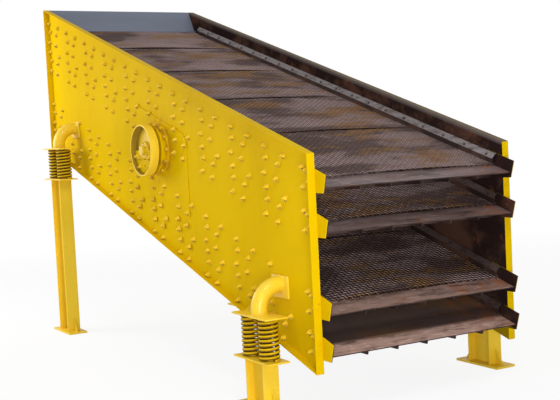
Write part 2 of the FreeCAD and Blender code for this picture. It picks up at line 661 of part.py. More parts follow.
def add_counterweight(side):
    """Half-round weight bolted on the flywheel's back plate, under the shaft."""
    sign = SIDES[side]
    body = exciter_body(f"counterweight_{side}")
    face = [("weight_inner", WEB_FACE), ("weight_radius", WEB_FACE),
            ("weight_radius", f"{WEB_FACE} + weight_thick"), ("weight_inner", f"{WEB_FACE} + weight_thick")]
    drawing = sketch(body, "XY_Plane", [[(radius, f"{sign} * ({along})") for radius, along in face]])
    revolve(body, drawing, "180")
    hole = sketch(body, "XZ_Plane", [("circle", "0", "-weight_hole_at", "weight_hole")])
    cut_through(body, hole)


def leg_x(end):
    """Place of an end's legs along X."""
    return f"({END_X} - {CORNERS[end][0]})"


def guide_outlines():
    """The two square guides that hold the springs of a pair."""
    return [rectangle(f"{a} * spring_pitch / 2", "0", "spring_guide_side", "spring_guide_side")
            for a in (-1, 1)]


def add_leg(end, side):
    """Leg: base plate with four anchor holes, H section, gussets, seat plate and spring guides."""
    sign = SIDES[side]
    seat_top = CORNERS[end][1]
    body = new_body(f"leg_{end}_{side}", leg_x(end), f"{sign} * {LEG_SIDE}")
    holes = [("circle", f"{a} * base_hole_x / 2", f"{b} * base_hole_y / 2", "base_hole")
             for a in (-1, 1) for b in (-1, 1)]
    base = sketch(body, "XY_Plane", [rectangle("0", "0", "base_long", "base_wide")] + holes)
    pad(body, base, "base_thick")
    section = h_outline("0", "0", "leg_deep", "leg_wide", "leg_web", "leg_flange", True)
    column = sketch(body, "XY_Plane", [section], "base_thick")
    pad(body, column, f"{seat_top} - seat_thick - base_thick")
    for direction in (-1, 1):
        root = f"{direction} * leg_deep / 2"
        toe = f"{direction} * (leg_deep / 2 + gusset_long)"
        gusset = sketch(body, "XZ_Plane", [[(root, "base_thick"), (toe, "base_thick"),
                                            (root, "base_thick + gusset_tall")]])
        pad(body, gusset, "gusset_thick", side="Symmetric")
    seat = sketch(body, "XY_Plane", [rectangle("0", "0", "seat_long", "seat_wide")],
                  f"{seat_top} - seat_thick")
    pad(body, seat, "seat_thick")
    guides = sketch(body, "XY_Plane", guide_outlines(), seat_top)
    pad(body, guides, "spring_guide_tall")


def coil_shape(height):
    """A coil spring with closed ends ground flat, its wire laid by straight steps."""
    radius, wire, turns = value("coil_radius"), value("wire_radius"), value("coil_turns")
    steps, sides = int(value("coil_steps")), int(value("wire_sides"))
    closed_turn = 2 * wire + value("seat_fit")
    open_turn = (height - 2 * closed_turn) / (turns - 2)
    sections = []
    for step in range(int(turns * steps) + 1):
        turn = step / steps
        lift = closed_turn * min(turn, 1) + open_turn * min(max(turn - 1, 0), turns - 2)
        lift += closed_turn * max(turn - turns + 1, 0)
        corners = []
        for corner in range(sides + 1):
            around = 2 * math.pi * corner / sides
            reach = radius + wire * math.cos(around)
            ground = min(max(lift + wire * math.sin(around), 0), height)
            corners.append(Vector(reach * math.cos(2 * math.pi * turn),
                                  reach * math.sin(2 * math.pi * turn), ground))
        sections.append(Part.makePolygon(corners))
    return Part.makeLoft(sections, True, True)


def add_springs(end, side):
    """The two coil springs of one corner, between the lower and the upper seat."""
    sign = SIDES[side]
    node = doc.addObject("Part::Feature", f"springs_{end}_{side}")
    node.Label = node.Name
    coil = coil_shape(value("spring_height - 2 * seat_fit"))
    pair = []
    for direction in (-1, 1):
        copy = coil.copy()
        copy.translate(Vector(direction * value("spring_pitch / 2"), 0, 0))
        pair.append(copy)
    node.Shape = Part.makeCompound(pair)
    place(node, leg_x(end), f"{sign} * {LEG_SIDE}", f"{CORNERS[end][1]} + seat_fit")
    nodes.append(node)


def add_bracket(end, side):
    """Spring bracket: seat plate with two guides, pipe elbow and the pad on the side plate."""
    sign = SIDES[side]
    body = new_body(f"spring_bracket_{end}_{side}", leg_x(end), f"{sign} * {LEG_SIDE}",
                    f"{CORNERS[end][1]} + spring_height")
    seat = sketch(body, "XY_Plane", [rectangle("0", "0", "seat_long", "seat_wide")])
    pad(body, seat, "seat_thick")
    guides = sketch(body, "XY_Plane", guide_outlines())
    pad(body, guides, "spring_guide_tall", turned=True)
    riser = sketch(body, "XY_Plane", [("circle", "0", "0", "pipe_radius")], "seat_thick")
    pad(body, riser, "pipe_rise - pipe_bend")
    add_bend(body, sign)
    runner = sketch(body, "XZ_Plane", [("circle", "0", PIPE_LEVEL, "pipe_radius")], f"{sign} * {PIPE_REACH}")
    pad(body, runner, f"{PIPE_REACH} - pipe_bend", turned=sign > 0)
    plate = rectangle("0", PIPE_LEVEL, "pad_long", "pad_tall")
    plate_sketch = sketch(body, "XZ_Plane", [plate], f"{sign} * {PIPE_REACH}")
    pad(body, plate_sketch, "pad_thick", turned=sign < 0)


def add_bend(body, sign):
    """The elbow's quarter bend, turned about a level line beside the riser."""
    drawing = sketch(body, "XY_Plane", [("circle", "0", "0", "pipe_radius")], f"{PIPE_LEVEL} - pipe_bend")
    side_way = f"{-sign} * pipe_bend"
    ends = [Vector(value(x), value(side_way), 0) for x in ("-pipe_radius", "pipe_radius")]
    line = drawing.addGeometry(Part.LineSegment(*ends), True)
    fix_point(drawing, line, 1, "-pipe_radius", side_way)
    fix_point(drawing, line, 2, "pipe_radius", side_way)
    revolve(body, drawing, "90", axis="Axis0", turned=sign < 0)


for side in SIDES:
    add_side_plate(side)
    add_doubler(side)
    add_cheeks(side)
    add_housing(side)
    add_cover(side)
    add_bolts(side)
    add_bearing(side)
    add_flywheel(side)
    add_counterweight(side)
for deck in DECKS:
    add_cross_beams(deck)
    add_support_bars(deck)
    add_mesh(deck)
    add_clamp_rails(deck)
    add_lip(deck)
add_feed_plate()
add_exciter_tube()
add_shaft()
for end in CORNERS:
    for side in SIDES:
        add_leg(end, side)
        add_springs(end, side)
        add_bracket(end, side)

doc.recompute()
faults = [item.Name for item in doc.Objects if {"Invalid", "Error"} & set(item.State)]
if faults:
    raise RuntimeError(f"objects that failed: {faults}")
for node in nodes:
    if node.Shape.isNull() or not node.Shape.isValid():
        raise RuntimeError(f"{node.Label} has no valid shape")
for node in nodes:
    node.Shape.exportStep(f"parts/{node.Label}.step")
print(len(nodes), "nodes written")
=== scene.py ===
"""Inclined vibrating screen: woven decks, painted steel, coil springs and an exciter in a pale studio."""
import math
import random
from contextlib import contextmanager

import bpy
from bpy.props import FloatProperty, FloatVectorProperty, IntProperty, PointerProperty
from mathutils import Matrix, Vector


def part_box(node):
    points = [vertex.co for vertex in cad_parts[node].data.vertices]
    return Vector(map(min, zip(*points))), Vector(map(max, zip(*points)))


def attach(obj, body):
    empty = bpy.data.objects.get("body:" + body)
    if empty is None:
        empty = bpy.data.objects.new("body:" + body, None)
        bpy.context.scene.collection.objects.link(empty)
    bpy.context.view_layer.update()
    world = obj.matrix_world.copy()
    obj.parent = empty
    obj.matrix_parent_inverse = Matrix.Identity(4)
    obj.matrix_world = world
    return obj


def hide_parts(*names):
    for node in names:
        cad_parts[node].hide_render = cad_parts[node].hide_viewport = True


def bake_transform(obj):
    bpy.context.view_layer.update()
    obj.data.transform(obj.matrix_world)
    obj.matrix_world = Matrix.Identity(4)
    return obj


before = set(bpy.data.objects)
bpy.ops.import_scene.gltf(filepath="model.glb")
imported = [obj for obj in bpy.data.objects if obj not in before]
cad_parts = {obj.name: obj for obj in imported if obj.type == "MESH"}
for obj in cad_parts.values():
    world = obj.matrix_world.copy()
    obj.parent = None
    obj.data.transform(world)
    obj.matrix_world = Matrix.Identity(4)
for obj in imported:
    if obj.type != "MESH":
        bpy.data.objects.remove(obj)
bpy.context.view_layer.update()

bl_info = {
    "name": "Vibrating Screen",
    "version": (1, 0, 0),
    "blender": (4, 5, 0),
    "location": "3D View > Sidebar > Screen",
    "description": "Dresses the steelwork of an inclined vibrating screen",
    "category": "Object",
}

MERGE = 1e-5
SIDES = {"left": -1, "right": 1}
ENDS = ("discharge", "feed")
DECKS = (1, 2, 3, 4)
COARSE_DECKS = (1, 2, 3)
PLATE_LOW, PLATE_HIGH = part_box("side_plate_left")
DRUM_LOW, DRUM_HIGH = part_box("flywheel_left")
DRUM_BACK = min(abs(DRUM_LOW.y), abs(DRUM_HIGH.y))
AXIS = Vector(((DRUM_LOW.x + DRUM_HIGH.x) / 2, 0, (DRUM_LOW.z + DRUM_HIGH.z) / 2))

# Lengths at which a finish changes, in metres
DUSTY_STRIP = 0.040
PRIMED_DEPTH = 1.47
CLOTH_PITCH = 0.009
# Reach from the shaft of the rust and painted shade round the bearing housings
SHADE_AND_GRIME_CORE, SHADE_AND_GRIME_REACH = 0.22, 0.40
RUST_STARTS, RUST_FULL = 0.35, 0.88
DRUM_WALL = 0.015

# Level distance from the plates' discharge edge to a rail's first bolt
FIRST_RAIL_BOLT = 0.173

# Colours that nobody would change, as light in each channel
# Dark brown of the painted shade inside and under the spring coils
COIL_SHADE = (0.060, 0.018, 0.009)
# Dark brown of the painted shade inside the drums
DRUM_SHADE = (0.085, 0.040, 0.004)
SHAFT_STEEL = (0.36, 0.35, 0.34)
BRIGHT_STEEL, OILED_STEEL = (0.42, 0.41, 0.40), (0.30, 0.28, 0.26)
FLOOR_GREY = (0.9, 0.9, 0.9)


class SteelworkSizes(bpy.types.PropertyGroup):
    """Sizes of what is fitted to the steelwork."""

    slope: FloatProperty(name="Slope", description="Fall of the decks towards the discharge end",
                         default=math.radians(16.85), subtype="ANGLE")
    mesh_pitch: FloatVectorProperty(name="Mesh pitch", description="From wire to wire on decks 1 to 3",
                                    default=(0.030, 0.034, 0.040), unit="LENGTH")
    wire_sides: IntProperty(name="Wire sides", description="Sides of a mesh wire", default=6, min=3)
    wire_swell: FloatProperty(name="Wire swell", description="Dirty wire's thickness against half the sheet",
                              default=1.15)
    bulge: FloatProperty(name="Bulge", description="How far a loose panel stands up", default=0.028,
                         unit="LENGTH")
    bolt_flats: FloatProperty(name="Nut", description="Across the flats of a plate nut",
                              default=0.038, unit="LENGTH")
    rail_bolt_pitch: FloatProperty(name="Rail bolts", description="Level distance between rail bolts",
                                   default=0.277, unit="LENGTH")
    beam_bolts_along: FloatProperty(name="Beam bolts along", description="Bolts of a beam, along the slope",
                                    default=0.190, unit="LENGTH")
    beam_bolts_across: FloatProperty(name="Beam bolts across", description="Bolts of a beam, square to it",
                                     default=0.124, unit="LENGTH")
    edge: FloatProperty(name="Edge", description="Rounding of cut plate edges", default=0.0022, unit="LENGTH")
    coil_wire: FloatProperty(name="Spring wire", description="Radius of the spring wire",
                             default=0.0140, unit="LENGTH")
    coil_turns: IntProperty(name="Open turns", description="Turns between the closed end turns", default=8)
    spring_pitch: FloatProperty(name="Springs apart", description="Middle to middle of a pair",
                                default=0.270, unit="LENGTH")


class FinishColours(bpy.types.PropertyGroup):
    """Colours of the finishes, as light in each channel."""

    yellow: FloatVectorProperty(name="Yellow enamel", description="Outside of plates and stand",
                                default=(0.68, 0.442, 0.001), subtype="COLOR", min=0, max=1)
    # A lighter copy of the yellow enamel, which is painted light: it brightens the legs, nuts, brackets and
    # drums
    lit_yellow: FloatVectorProperty(name="Pale yellow", description="Enamel of the legs, bleached outdoors",
                                     default=(0.83, 0.565, 0.035), subtype="COLOR", min=0, max=1)
    deep_yellow: FloatVectorProperty(name="Deep yellow", description="Where the enamel is thick or dusty",
                                     default=(0.57, 0.356, 0.001), subtype="COLOR", min=0, max=1)
    primer: FloatVectorProperty(name="Dark primer", description="Inside of the screen box",
                                default=(0.022, 0.012, 0.011), subtype="COLOR", min=0, max=1)
    rust: FloatVectorProperty(name="Rust", description="Fresh rust", default=(0.30, 0.085, 0.022),
                              subtype="COLOR", min=0, max=1)
    old_rust: FloatVectorProperty(name="Old rust", description="Brown rust", default=(0.080, 0.038, 0.026),
                                  subtype="COLOR", min=0, max=1)
    wire: FloatVectorProperty(name="Wire", description="Rubbed spring steel", default=(0.55, 0.395, 0.380),
                              subtype="COLOR", min=0, max=1)
    bare: FloatVectorProperty(name="Worn plate", description="Plate that stone has rubbed",
                              default=(0.162, 0.113, 0.107), subtype="COLOR", min=0, max=1)
    brown: FloatVectorProperty(name="Worn brown", description="Rusty plate of the lower decks",
                               default=(0.30, 0.190, 0.155), subtype="COLOR", min=0, max=1)
    rail: FloatVectorProperty(name="Rail grey", description="Clamp rails", default=(0.175, 0.150, 0.150),
                              subtype="COLOR", min=0, max=1)
    dark_rail: FloatVectorProperty(name="Dark rail", description="Rusty clamp rails of the lower decks",
                                   default=(0.066, 0.042, 0.038), subtype="COLOR", min=0, max=1)
    dust: FloatVectorProperty(name="Stone dust", description="Pale dust on upward edges",
                              default=(0.150, 0.125, 0.115), subtype="COLOR", min=0, max=1)
    tan: FloatVectorProperty(name="Dusty rust", description="Rust under stone dust",
                             default=(0.52, 0.27, 0.10), subtype="COLOR", min=0, max=1)
    feed: FloatVectorProperty(name="Feed plate", description="Blue grey feed plate",
                              default=(0.175, 0.195, 0.255), subtype="COLOR", min=0, max=1)


class StudioSettings(bpy.types.PropertyGroup):
    """Camera and light."""

    camera_place: FloatVectorProperty(name="Camera", description="Camera's place",
                                      default=(9.5336, -5.1837, 2.1582), subtype="TRANSLATION")
    azimuth: FloatProperty(name="Azimuth", description="Round the machine", default=math.radians(59.586),
                           subtype="ANGLE")
    elevation: FloatProperty(name="Elevation", description="Above the horizon", default=math.radians(3.664),
                             subtype="ANGLE")
    roll: FloatProperty(name="Roll", description="Tilt of the picture", default=math.radians(-2.831),
                        subtype="ANGLE")
    lens: FloatProperty(name="Lens", description="Focal length", default=69.15, unit="CAMERA")
    key: FloatProperty(name="Key", description="Power of the large lamp", default=420, unit="POWER")
    fill: FloatProperty(name="Fill", description="Power of the side lamp", default=220, unit="POWER")
    low: FloatProperty(name="Low fill", description="Power of the low lamp on the legs", default=185,
                       unit="POWER")
    sky: FloatProperty(name="Sky", description="Strength of the soft light all round", default=0.54)


def sizes():
    """The fitted sizes of this scene."""
    return bpy.context.scene.steelwork_sizes


def colours():
    """The finish colours of this scene."""
    return bpy.context.scene.finish_colours


def deck_frame():
    """The decks' own frame: X down the slope from the plates' top discharge corner, Z square to it."""
    slope = sizes().slope
    corner = PLATE_HIGH.z - (PLATE_HIGH.x - PLATE_LOW.x) * math.tan(slope)
    return Matrix.Translation((PLATE_HIGH.x, 0, corner)) @ Matrix.Rotation(slope, 4, "Y")


def deck_box(node):
    """Lowest and highest corner of a node in the decks' own frame."""
    back = deck_frame().inverted()
    points = [back @ vertex.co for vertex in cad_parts[node].data.vertices]
    return tuple(Vector([pick(point[axis] for point in points) for axis in range(3)]) for pick in (min, max))


def discharge_edge(level):
    """Where the plates' upright discharge edge crosses a level of the decks' own frame."""
    return -level * math.tan(sizes().slope)


def rail_bolt_row(level, count):
    """Places of the bolts of a rail down the slope, counted from the discharge edge."""
    edge, cosine, pitch = discharge_edge(level), math.cos(sizes().slope), sizes().rail_bolt_pitch
    return [edge - (FIRST_RAIL_BOLT + number * pitch) / cosine for number in range(count)]


def outward(side, x, z):
    """A frame on a side of the machine: Z out from it, Y up, at a place on the middle plane."""
    turn = Matrix.Rotation(0 if side == "left" else math.pi, 4, "Z")
    return Matrix.Translation((x, 0, z)) @ turn @ Matrix.Rotation(math.pi / 2, 4, "X")


def alone(*pieces):
    """Select these objects and nothing else."""
    bpy.ops.object.select_all(action="DESELECT")
    for piece in pieces:
        piece.select_set(True)
    bpy.context.view_layer.objects.active = pieces[0]


@contextmanager
def editing(piece):
    """Edit mode on one piece, with all of its mesh selected."""
    alone(piece)
    bpy.ops.object.mode_set(mode="EDIT")
    bpy.ops.mesh.select_all(action="SELECT")
    yield
    bpy.ops.object.mode_set(mode="OBJECT")


def named(name):
    """Name the object that was just added."""
    piece = bpy.context.active_object
    piece.name = piece.data.name = name
    return piece


def start(add, **settings):
    """Add a primitive with nothing else selected, and write its place into its mesh."""
    bpy.ops.object.select_all(action="DESELECT")
    add(**settings)
    bpy.ops.object.transform_apply(location=True, rotation=True, scale=True)
    return bpy.context.active_object


def set_down(piece, place):
    """Move a piece to its place and write the place into its mesh."""
    alone(piece)
    piece.matrix_world = place
    bpy.ops.object.transform_apply(location=True, rotation=True, scale=True)
    return piece


def modify(piece, kind, **settings):
    """Add a modifier and apply it."""
    alone(piece)
    modifier = piece.modifiers.new(kind.title(), kind)
    for setting, value in settings.items():
        setattr(modifier, setting, value)
    bpy.ops.object.modifier_apply(modifier=modifier.name)


def joined(name, pieces):
    """Join pieces into one."""
    alone(*pieces)
    bpy.ops.object.join()
    return named(name)


def copies(pattern, places):
    """Copies of a piece at many places, each with its own mesh."""
    made = []
    for place in places:
        copy = pattern.copy()
        copy.data = pattern.data.copy()
        bpy.context.collection.objects.link(copy)
        copy.data.transform(place)
        made.append(copy)
    return made


def remove(piece):
    """Delete a piece that only served as a pattern."""
    alone(piece)
    bpy.ops.object.delete()


def clean(piece):
    """Merge doubles and turn all faces outward."""
    with editing(piece):
        bpy.ops.mesh.remove_doubles(threshold=MERGE)
        bpy.ops.mesh.normals_make_consistent(inside=False)
    return piece


def smooth(piece, angle=40):
    """Shade smooth where faces meet at less than an angle."""
    alone(piece)
    bpy.ops.object.shade_smooth_by_angle(angle=math.radians(angle))
    return piece


def soften(piece, width, segments=2, angle=32):
    """Round the sharp edges and shade the rest smooth."""
    modify(piece, "BEVEL", width=width, segments=segments, limit_method="ANGLE",
           angle_limit=math.radians(angle), harden_normals=False)
    return smooth(piece)


def turned(name, profile, steps=96, closed=False):
    """A piece turned about Z: a ring that is extruded and resized along (radius, height) points."""
    radius, height = profile[0]
    piece = start(bpy.ops.mesh.primitive_circle_add, vertices=steps, radius=radius, location=(0, 0, height),
                  fill_type="NOTHING" if closed else "NGON")
    with editing(piece):
        for new_radius, new_height in profile[1:] + (profile[:1] if closed else []):
            rise, share = new_height - height, new_radius / radius
            bpy.ops.mesh.extrude_region_move(TRANSFORM_OT_translate={"value": (0, 0, rise)})
            bpy.ops.transform.resize(value=(share, share, 1), center_override=(0, 0, new_height))
            radius, height = new_radius, new_height
    return clean(named(name))


def block(name, low, high):
    """A plate or bar between two corners."""
    low, high = Vector(low), Vector(high)
    start(bpy.ops.mesh.primitive_cube_add, size=1, location=(low + high) / 2, scale=high - low)
    return named(name)


def tube_along(name, radius, sides, first, heading, moves):
    """A round bar: a circle at a first point, extruded through a row of straight moves."""
    turn = Vector((0, 0, 1)).rotation_difference(Vector(heading)).to_euler()
    bar = start(bpy.ops.mesh.primitive_circle_add, vertices=sides, radius=radius, location=first,
                rotation=turn)
    with editing(bar):
        for move in moves:
            bpy.ops.mesh.extrude_region_move(TRANSFORM_OT_translate={"value": move})
    return named(name)


def nut(name, flats, height, washer, thread):
    """A washer, a chamfered hexagon nut and a rounded thread end, standing on Z = 0."""
    corner = flats / math.sqrt(3)
    outlines = {
        "washer": (14, [(washer, 0), (washer, height * 0.14), (washer * 0.9, height * 0.2)]),
        "body": (6, [(corner, height * 0.2), (corner, height * 0.85), (corner * 0.84, height)]),
        "thread": (8, [(thread, height), (thread, height * 1.35), (thread * 0.6, height * 1.55)]),
    }
    return joined(name, [turned(f"{name}_{part}", outline, sides)
                         for part, (sides, outline) in outlines.items()])


def paint(piece, finish):
    """Give a piece one of the shared finishes, by its name."""
    piece.data.materials.clear()
    piece.data.materials.append(bpy.data.materials[finish])


def dress(piece, finish, body, slot, *nodes):
    """Give a finished piece its finish and its body, and hide the nodes that it stands for; the slot is not
    used.
    """
    paint(piece, finish)
    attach(piece, body)
    if nodes:
        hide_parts(*nodes)


class Number:
    """A number on the surface: Python's operators add Math nodes."""

    def __init__(self, finish, socket):
        self.finish, self.socket = finish, socket

    def reckon(self, operation, *others):
        values = [self.socket] + [getattr(other, "socket", other) for other in others]
        node = self.finish.node("ShaderNodeMath", {"operation": operation}, dict(enumerate(values)))
        return Number(self.finish, node.outputs[0])

    def __add__(self, other):
        return self.reckon("ADD", other)

    def __sub__(self, other):
        return self.reckon("SUBTRACT", other)

    def __mul__(self, other):
        return self.reckon("MULTIPLY", other)

    def __rsub__(self, other):
        return (self * -1) + other

    __radd__ = __add__
    __rmul__ = __mul__

    def over(self, limit):
        """1 where the number is over a limit."""
        return self.reckon("GREATER_THAN", limit)

    def band(self, low, high):
        """0 at low to 1 at high, held there beyond them."""
        inputs = {0: self.socket, 1: low, 2: high, 3: 0.0, 4: 1.0}
        settings = {"interpolation_type": "SMOOTHSTEP", "clamp": True}
        return Number(self.finish, self.finish.node("ShaderNodeMapRange", settings, inputs).outputs[0])

    def size(self):
        """The number without its sign."""
        return self.reckon("ABSOLUTE")


class Finish:
    """A material under construction."""

    def __init__(self, name, roughness=0.5, metallic=0.0, coat=0.0, specular=0.5):
        self.material = bpy.data.materials.new(name)
        self.material.use_nodes = True
        self.tree = self.material.node_tree
        self.shader = self.tree.nodes["Principled BSDF"]
        for socket, value in (("Roughness", roughness), ("Metallic", metallic), ("Coat Weight", coat),
                              ("Specular IOR Level", specular)):
            self.shader.inputs[socket].default_value = value
        self.places = self.node("ShaderNodeTexCoord").outputs["Object"]

    def node(self, kind, settings=None, inputs=None):
        """Add a node: its settings first, then the values or links of its sockets."""
        node = self.tree.nodes.new(kind)
        for setting, value in (settings or {}).items():
            setattr(node, setting, value)
        for socket, value in (inputs or {}).items():
            self.feed(node.inputs[socket], value)
        return node

    def feed(self, socket, value):
        """Link a socket, or set its value."""
        value = getattr(value, "socket", value)
        if isinstance(value, bpy.types.NodeSocket):
            self.tree.links.new(value, socket)
        elif hasattr(value, "__len__") and len(socket.default_value) == 4:
            socket.default_value = (*value, 1)
        else:
            socket.default_value = value

    def noise(self, scale, detail=3.0, stretch=None, roughness=0.55, offset=(0, 0, 0)):
        """A cloudy number from 0 to 1."""
        places = self.places
        if stretch or any(offset):
            inputs = {"Vector": places, "Scale": stretch or (1, 1, 1), "Location": offset}
            places = self.node("ShaderNodeMapping", None, inputs).outputs[0]
        inputs = {"Vector": places, "Scale": scale, "Detail": detail, "Roughness": roughness}
        return Number(self, self.node("ShaderNodeTexNoise", None, inputs).outputs[0])

    def place(self, axis, turn=(0, 0, 0)):
        """One coordinate of the surface, after a turn."""
        mapping = self.node("ShaderNodeMapping", None, {"Vector": self.places, "Rotation": turn})
        return self.part(mapping.outputs[0], axis)

    def own(self, name):
        """A number that the piece's mesh carries."""
        return Number(self, self.node("ShaderNodeAttribute", {"attribute_name": name}).outputs["Fac"])

    def facing(self, axis):
        """How far the surface faces along an axis."""
        return self.part(self.node("ShaderNodeNewGeometry").outputs["Normal"], axis)

    def part(self, vector, axis):
        """One of the three numbers of a vector."""
        node = self.node("ShaderNodeSeparateXYZ", None, {0: vector})
        return Number(self, node.outputs["XYZ".index(axis)])

    def mix(self, share, first, second):
        """A colour between two."""
        node = self.node("ShaderNodeMix", {"data_type": "RGBA"}, {0: share, 6: first, 7: second})
        return Number(self, node.outputs[2])

    def bump(self, height, strength, distance):
        """Fine relief."""
        inputs = {"Height": height, "Strength": strength, "Distance": distance}
        self.feed(self.shader.inputs["Normal"], self.node("ShaderNodeBump", None, inputs).outputs[0])

    def set(self, socket, value):
        """Feed one socket of the shader."""
        self.feed(self.shader.inputs[socket], value)


def distance(first, second):
    """How far a point lies from where two numbers are both 0."""
    return (first * first + second * second).reckon("SQRT")


def off_axis(finish):
    """Distance from the shaft's axis."""
    return distance(finish.place("X") - AXIS.x, finish.place("Z") - AXIS.z)


def enamel(finish, main="yellow", deep="deep_yellow"):
    """Colour, roughness and relief of yellow enamel on plate, with rust and painted shade round the shaft."""
    tone = colours()
    cloud = finish.noise(0.9, 4).band(0.35, 0.7)
    drips = finish.noise(1.0, 4, stretch=(9, 9, 0.9)).band(0.50, 0.78)
    # Rust and painted shade: orange-brown spots darken the housings, doubler and plate near the shaft, behind
    # the drums
    near = 1 - off_axis(finish).band(SHADE_AND_GRIME_CORE, SHADE_AND_GRIME_REACH)
    behind = 1 - finish.place("Y").size().over(DRUM_BACK - 0.002)
    shade_and_grime = near * behind * finish.noise(9, 3).band(0.46, 0.66)
    specks = finish.noise(42, 2).band(0.715, 0.75)
    colour = finish.mix(cloud * 0.55 + drips * 0.25, getattr(tone, main), getattr(tone, deep))
    colour = finish.mix(specks * 0.55, colour, tone.old_rust)
    colour = finish.mix(shade_and_grime * 0.45, colour, tone.rust)
    roughness = finish.noise(14, 3) * 0.22 + 0.30
    height = finish.noise(3.2, 2) * 0.9 + finish.noise(150, 2) * 0.02
    return colour, roughness, height


def rusty_end(finish, colour):
    """Orange rust that comes through towards the right side of the decks."""
    patches = finish.noise(7, 5, offset=(6, 2, 8), roughness=0.7).band(0.44, 0.60)
    share = finish.place("Y").band(RUST_STARTS, RUST_FULL) * patches
    return finish.mix(share * 0.65, colour, colours().rust)


def rust_colour(finish):
    """Colour of dark primer that rusts."""
    tone = colours()
    cloud = finish.noise(2.6, 5, roughness=0.62)
    colour = finish.mix(cloud.band(0.42, 0.62), tone.primer, tone.old_rust)
    fresh = finish.noise(5.5, 5, offset=(3, 1, 7), roughness=0.68).band(0.60, 0.72)
    return finish.mix(fresh * 0.32, colour, tone.rust)


def rusty(finish):
    """Colour, roughness and relief of dark primer that rusts."""
    return rust_colour(finish), finish.noise(20, 3) * 0.25 + 0.55, finish.noise(60, 4)


def yellow_finish(name, coat=0.0, specular=0.008, main="yellow", deep="deep_yellow", shade_below=0.0):
    """Yellow enamel all over, with painted shade on what looks down."""
    finish = Finish(name, coat=coat, specular=specular)
    colour, roughness, height = enamel(finish, main, deep)
    if shade_below:
        # Painted shade: faces that look down are darkened towards old rust
        colour = finish.mix((1 - finish.facing("Z").band(-0.6, 0.1)) * shade_below, colour, colours().old_rust)
    finish.set("Base Color", colour)
    finish.set("Roughness", roughness)
    finish.bump(height, 0.25, 0.012)


def drum_finish():
    """Yellow enamel with painted shade in dark brown on the drums' inner wall and round their back plate."""
    finish = Finish("drum_enamel", coat=0.10, specular=0.12)
    colour, roughness, height = enamel(finish, "lit_yellow", "yellow")
    reach = off_axis(finish)
    wall = (DRUM_HIGH.x - DRUM_LOW.x) / 2 - DRUM_WALL
    # Painted shade: a dark ring on the rim's inner wall and the corner beside it, and dark spots on the back
    # plate inside the drum
    ring = reach.band(wall - 0.050, wall - 0.004) * (1 - reach.band(wall - 0.0005, wall + 0.0025))
    spots = finish.noise(16, 4, roughness=0.65).band(0.56, 0.72)
    depth = finish.place("Y").size().band(DRUM_BACK + 0.010, DRUM_BACK + 0.020)
    inside = depth * (1 - reach.over(wall + 0.002))
    shade_and_grime = ring * 0.75 + (1 - ring) * inside * spots * 0.35
    finish.set("Base Color", finish.mix(shade_and_grime, colour, DRUM_SHADE))
    finish.set("Roughness", roughness + shade_and_grime * 0.3)
    finish.bump(height, 0.25, 0.012)


def two_sided_finish(name, inner_face, dark_top=False):
    """Yellow outside, primer inside with a dusty strip on top, and yellow again under the lowest deck,
    darkened there as painted shade.
    """
    tone = colours()
    finish = Finish(name, specular=0.008)
    outside, outside_roughness, outside_height = enamel(finish)
    inside, inside_roughness, inside_height = rusty(finish)
    corner = deck_frame().translation
    slope = sizes().slope
    top = corner.x * math.sin(slope) + corner.z * math.cos(slope)
    level = finish.place("Z", turn=(0, -slope, 0)) - top
    strip = level.band(-DUSTY_STRIP, -0.008) * 0.8
    inside = finish.mix(strip, inside, tone.dust)
    # Under the lowest deck the inside is yellow at 0.55 of the deep yellow: the darkening is painted shade
    low = 1 - level.band(-PRIMED_DEPTH - 0.02, -PRIMED_DEPTH + 0.02)
    inside = finish.mix(low * 0.9, inside, [channel * 0.55 for channel in tone.deep_yellow])
    mask = 1 - finish.place("Y").size().over(inner_face)
    if dark_top:
        dusty = level.over(-0.004) * 0.92
        mask = mask + dusty * (1 - mask)
    finish.set("Base Color", finish.mix(mask, outside, inside))
    finish.set("Roughness", outside_roughness + mask * (inside_roughness - outside_roughness))
    finish.bump(outside_height * (1 - mask) + inside_height * mask * 0.3, 0.25, 0.012)


def dark_finish():
    """Dark rusty primer."""
    finish = Finish("rusty_primer", specular=0.3)
    colour, roughness, height = rusty(finish)
    finish.set("Base Color", colour)
    finish.set("Roughness", roughness)
    finish.bump(height, 0.3, 0.004)


def wire_finish():
    """Woven wire: rubbed steel under patches of rust and dust that lie across the deck, with painted shade on
    the low parts of the weave.
    """
    tone = colours()
    finish = Finish("woven_wire", roughness=0.55, metallic=0.1, specular=0.35)
    patches = finish.noise(1.0, 5, stretch=(2.6, 1.1, 2.6), roughness=0.6)
    colour = finish.mix(patches.band(0.44, 0.56) * 0.75, tone.wire, tone.old_rust)
    dusty = finish.noise(1.0, 6, stretch=(5.0, 1.5, 5.0), offset=(5, 2, 9), roughness=0.68).band(0.50, 0.60)
    colour = finish.mix(dusty * 0.85, colour, tone.tan)
    fresh = finish.noise(1.0, 5, stretch=(4.5, 1.6, 4.5), offset=(8, 3, 1), roughness=0.66).band(0.60, 0.72)
    colour = finish.mix(fresh * 0.7, colour, tone.rust)
    # Rubbed crossings and painted shade: the low parts of the weave are darkened to dark primer
    worn = finish.own("wear").band(0.52, 0.92)
    finish.set("Base Color", finish.mix(1 - worn, colour, tone.primer))
    finish.set("Roughness", finish.noise(30, 2) * 0.3 + 0.45)


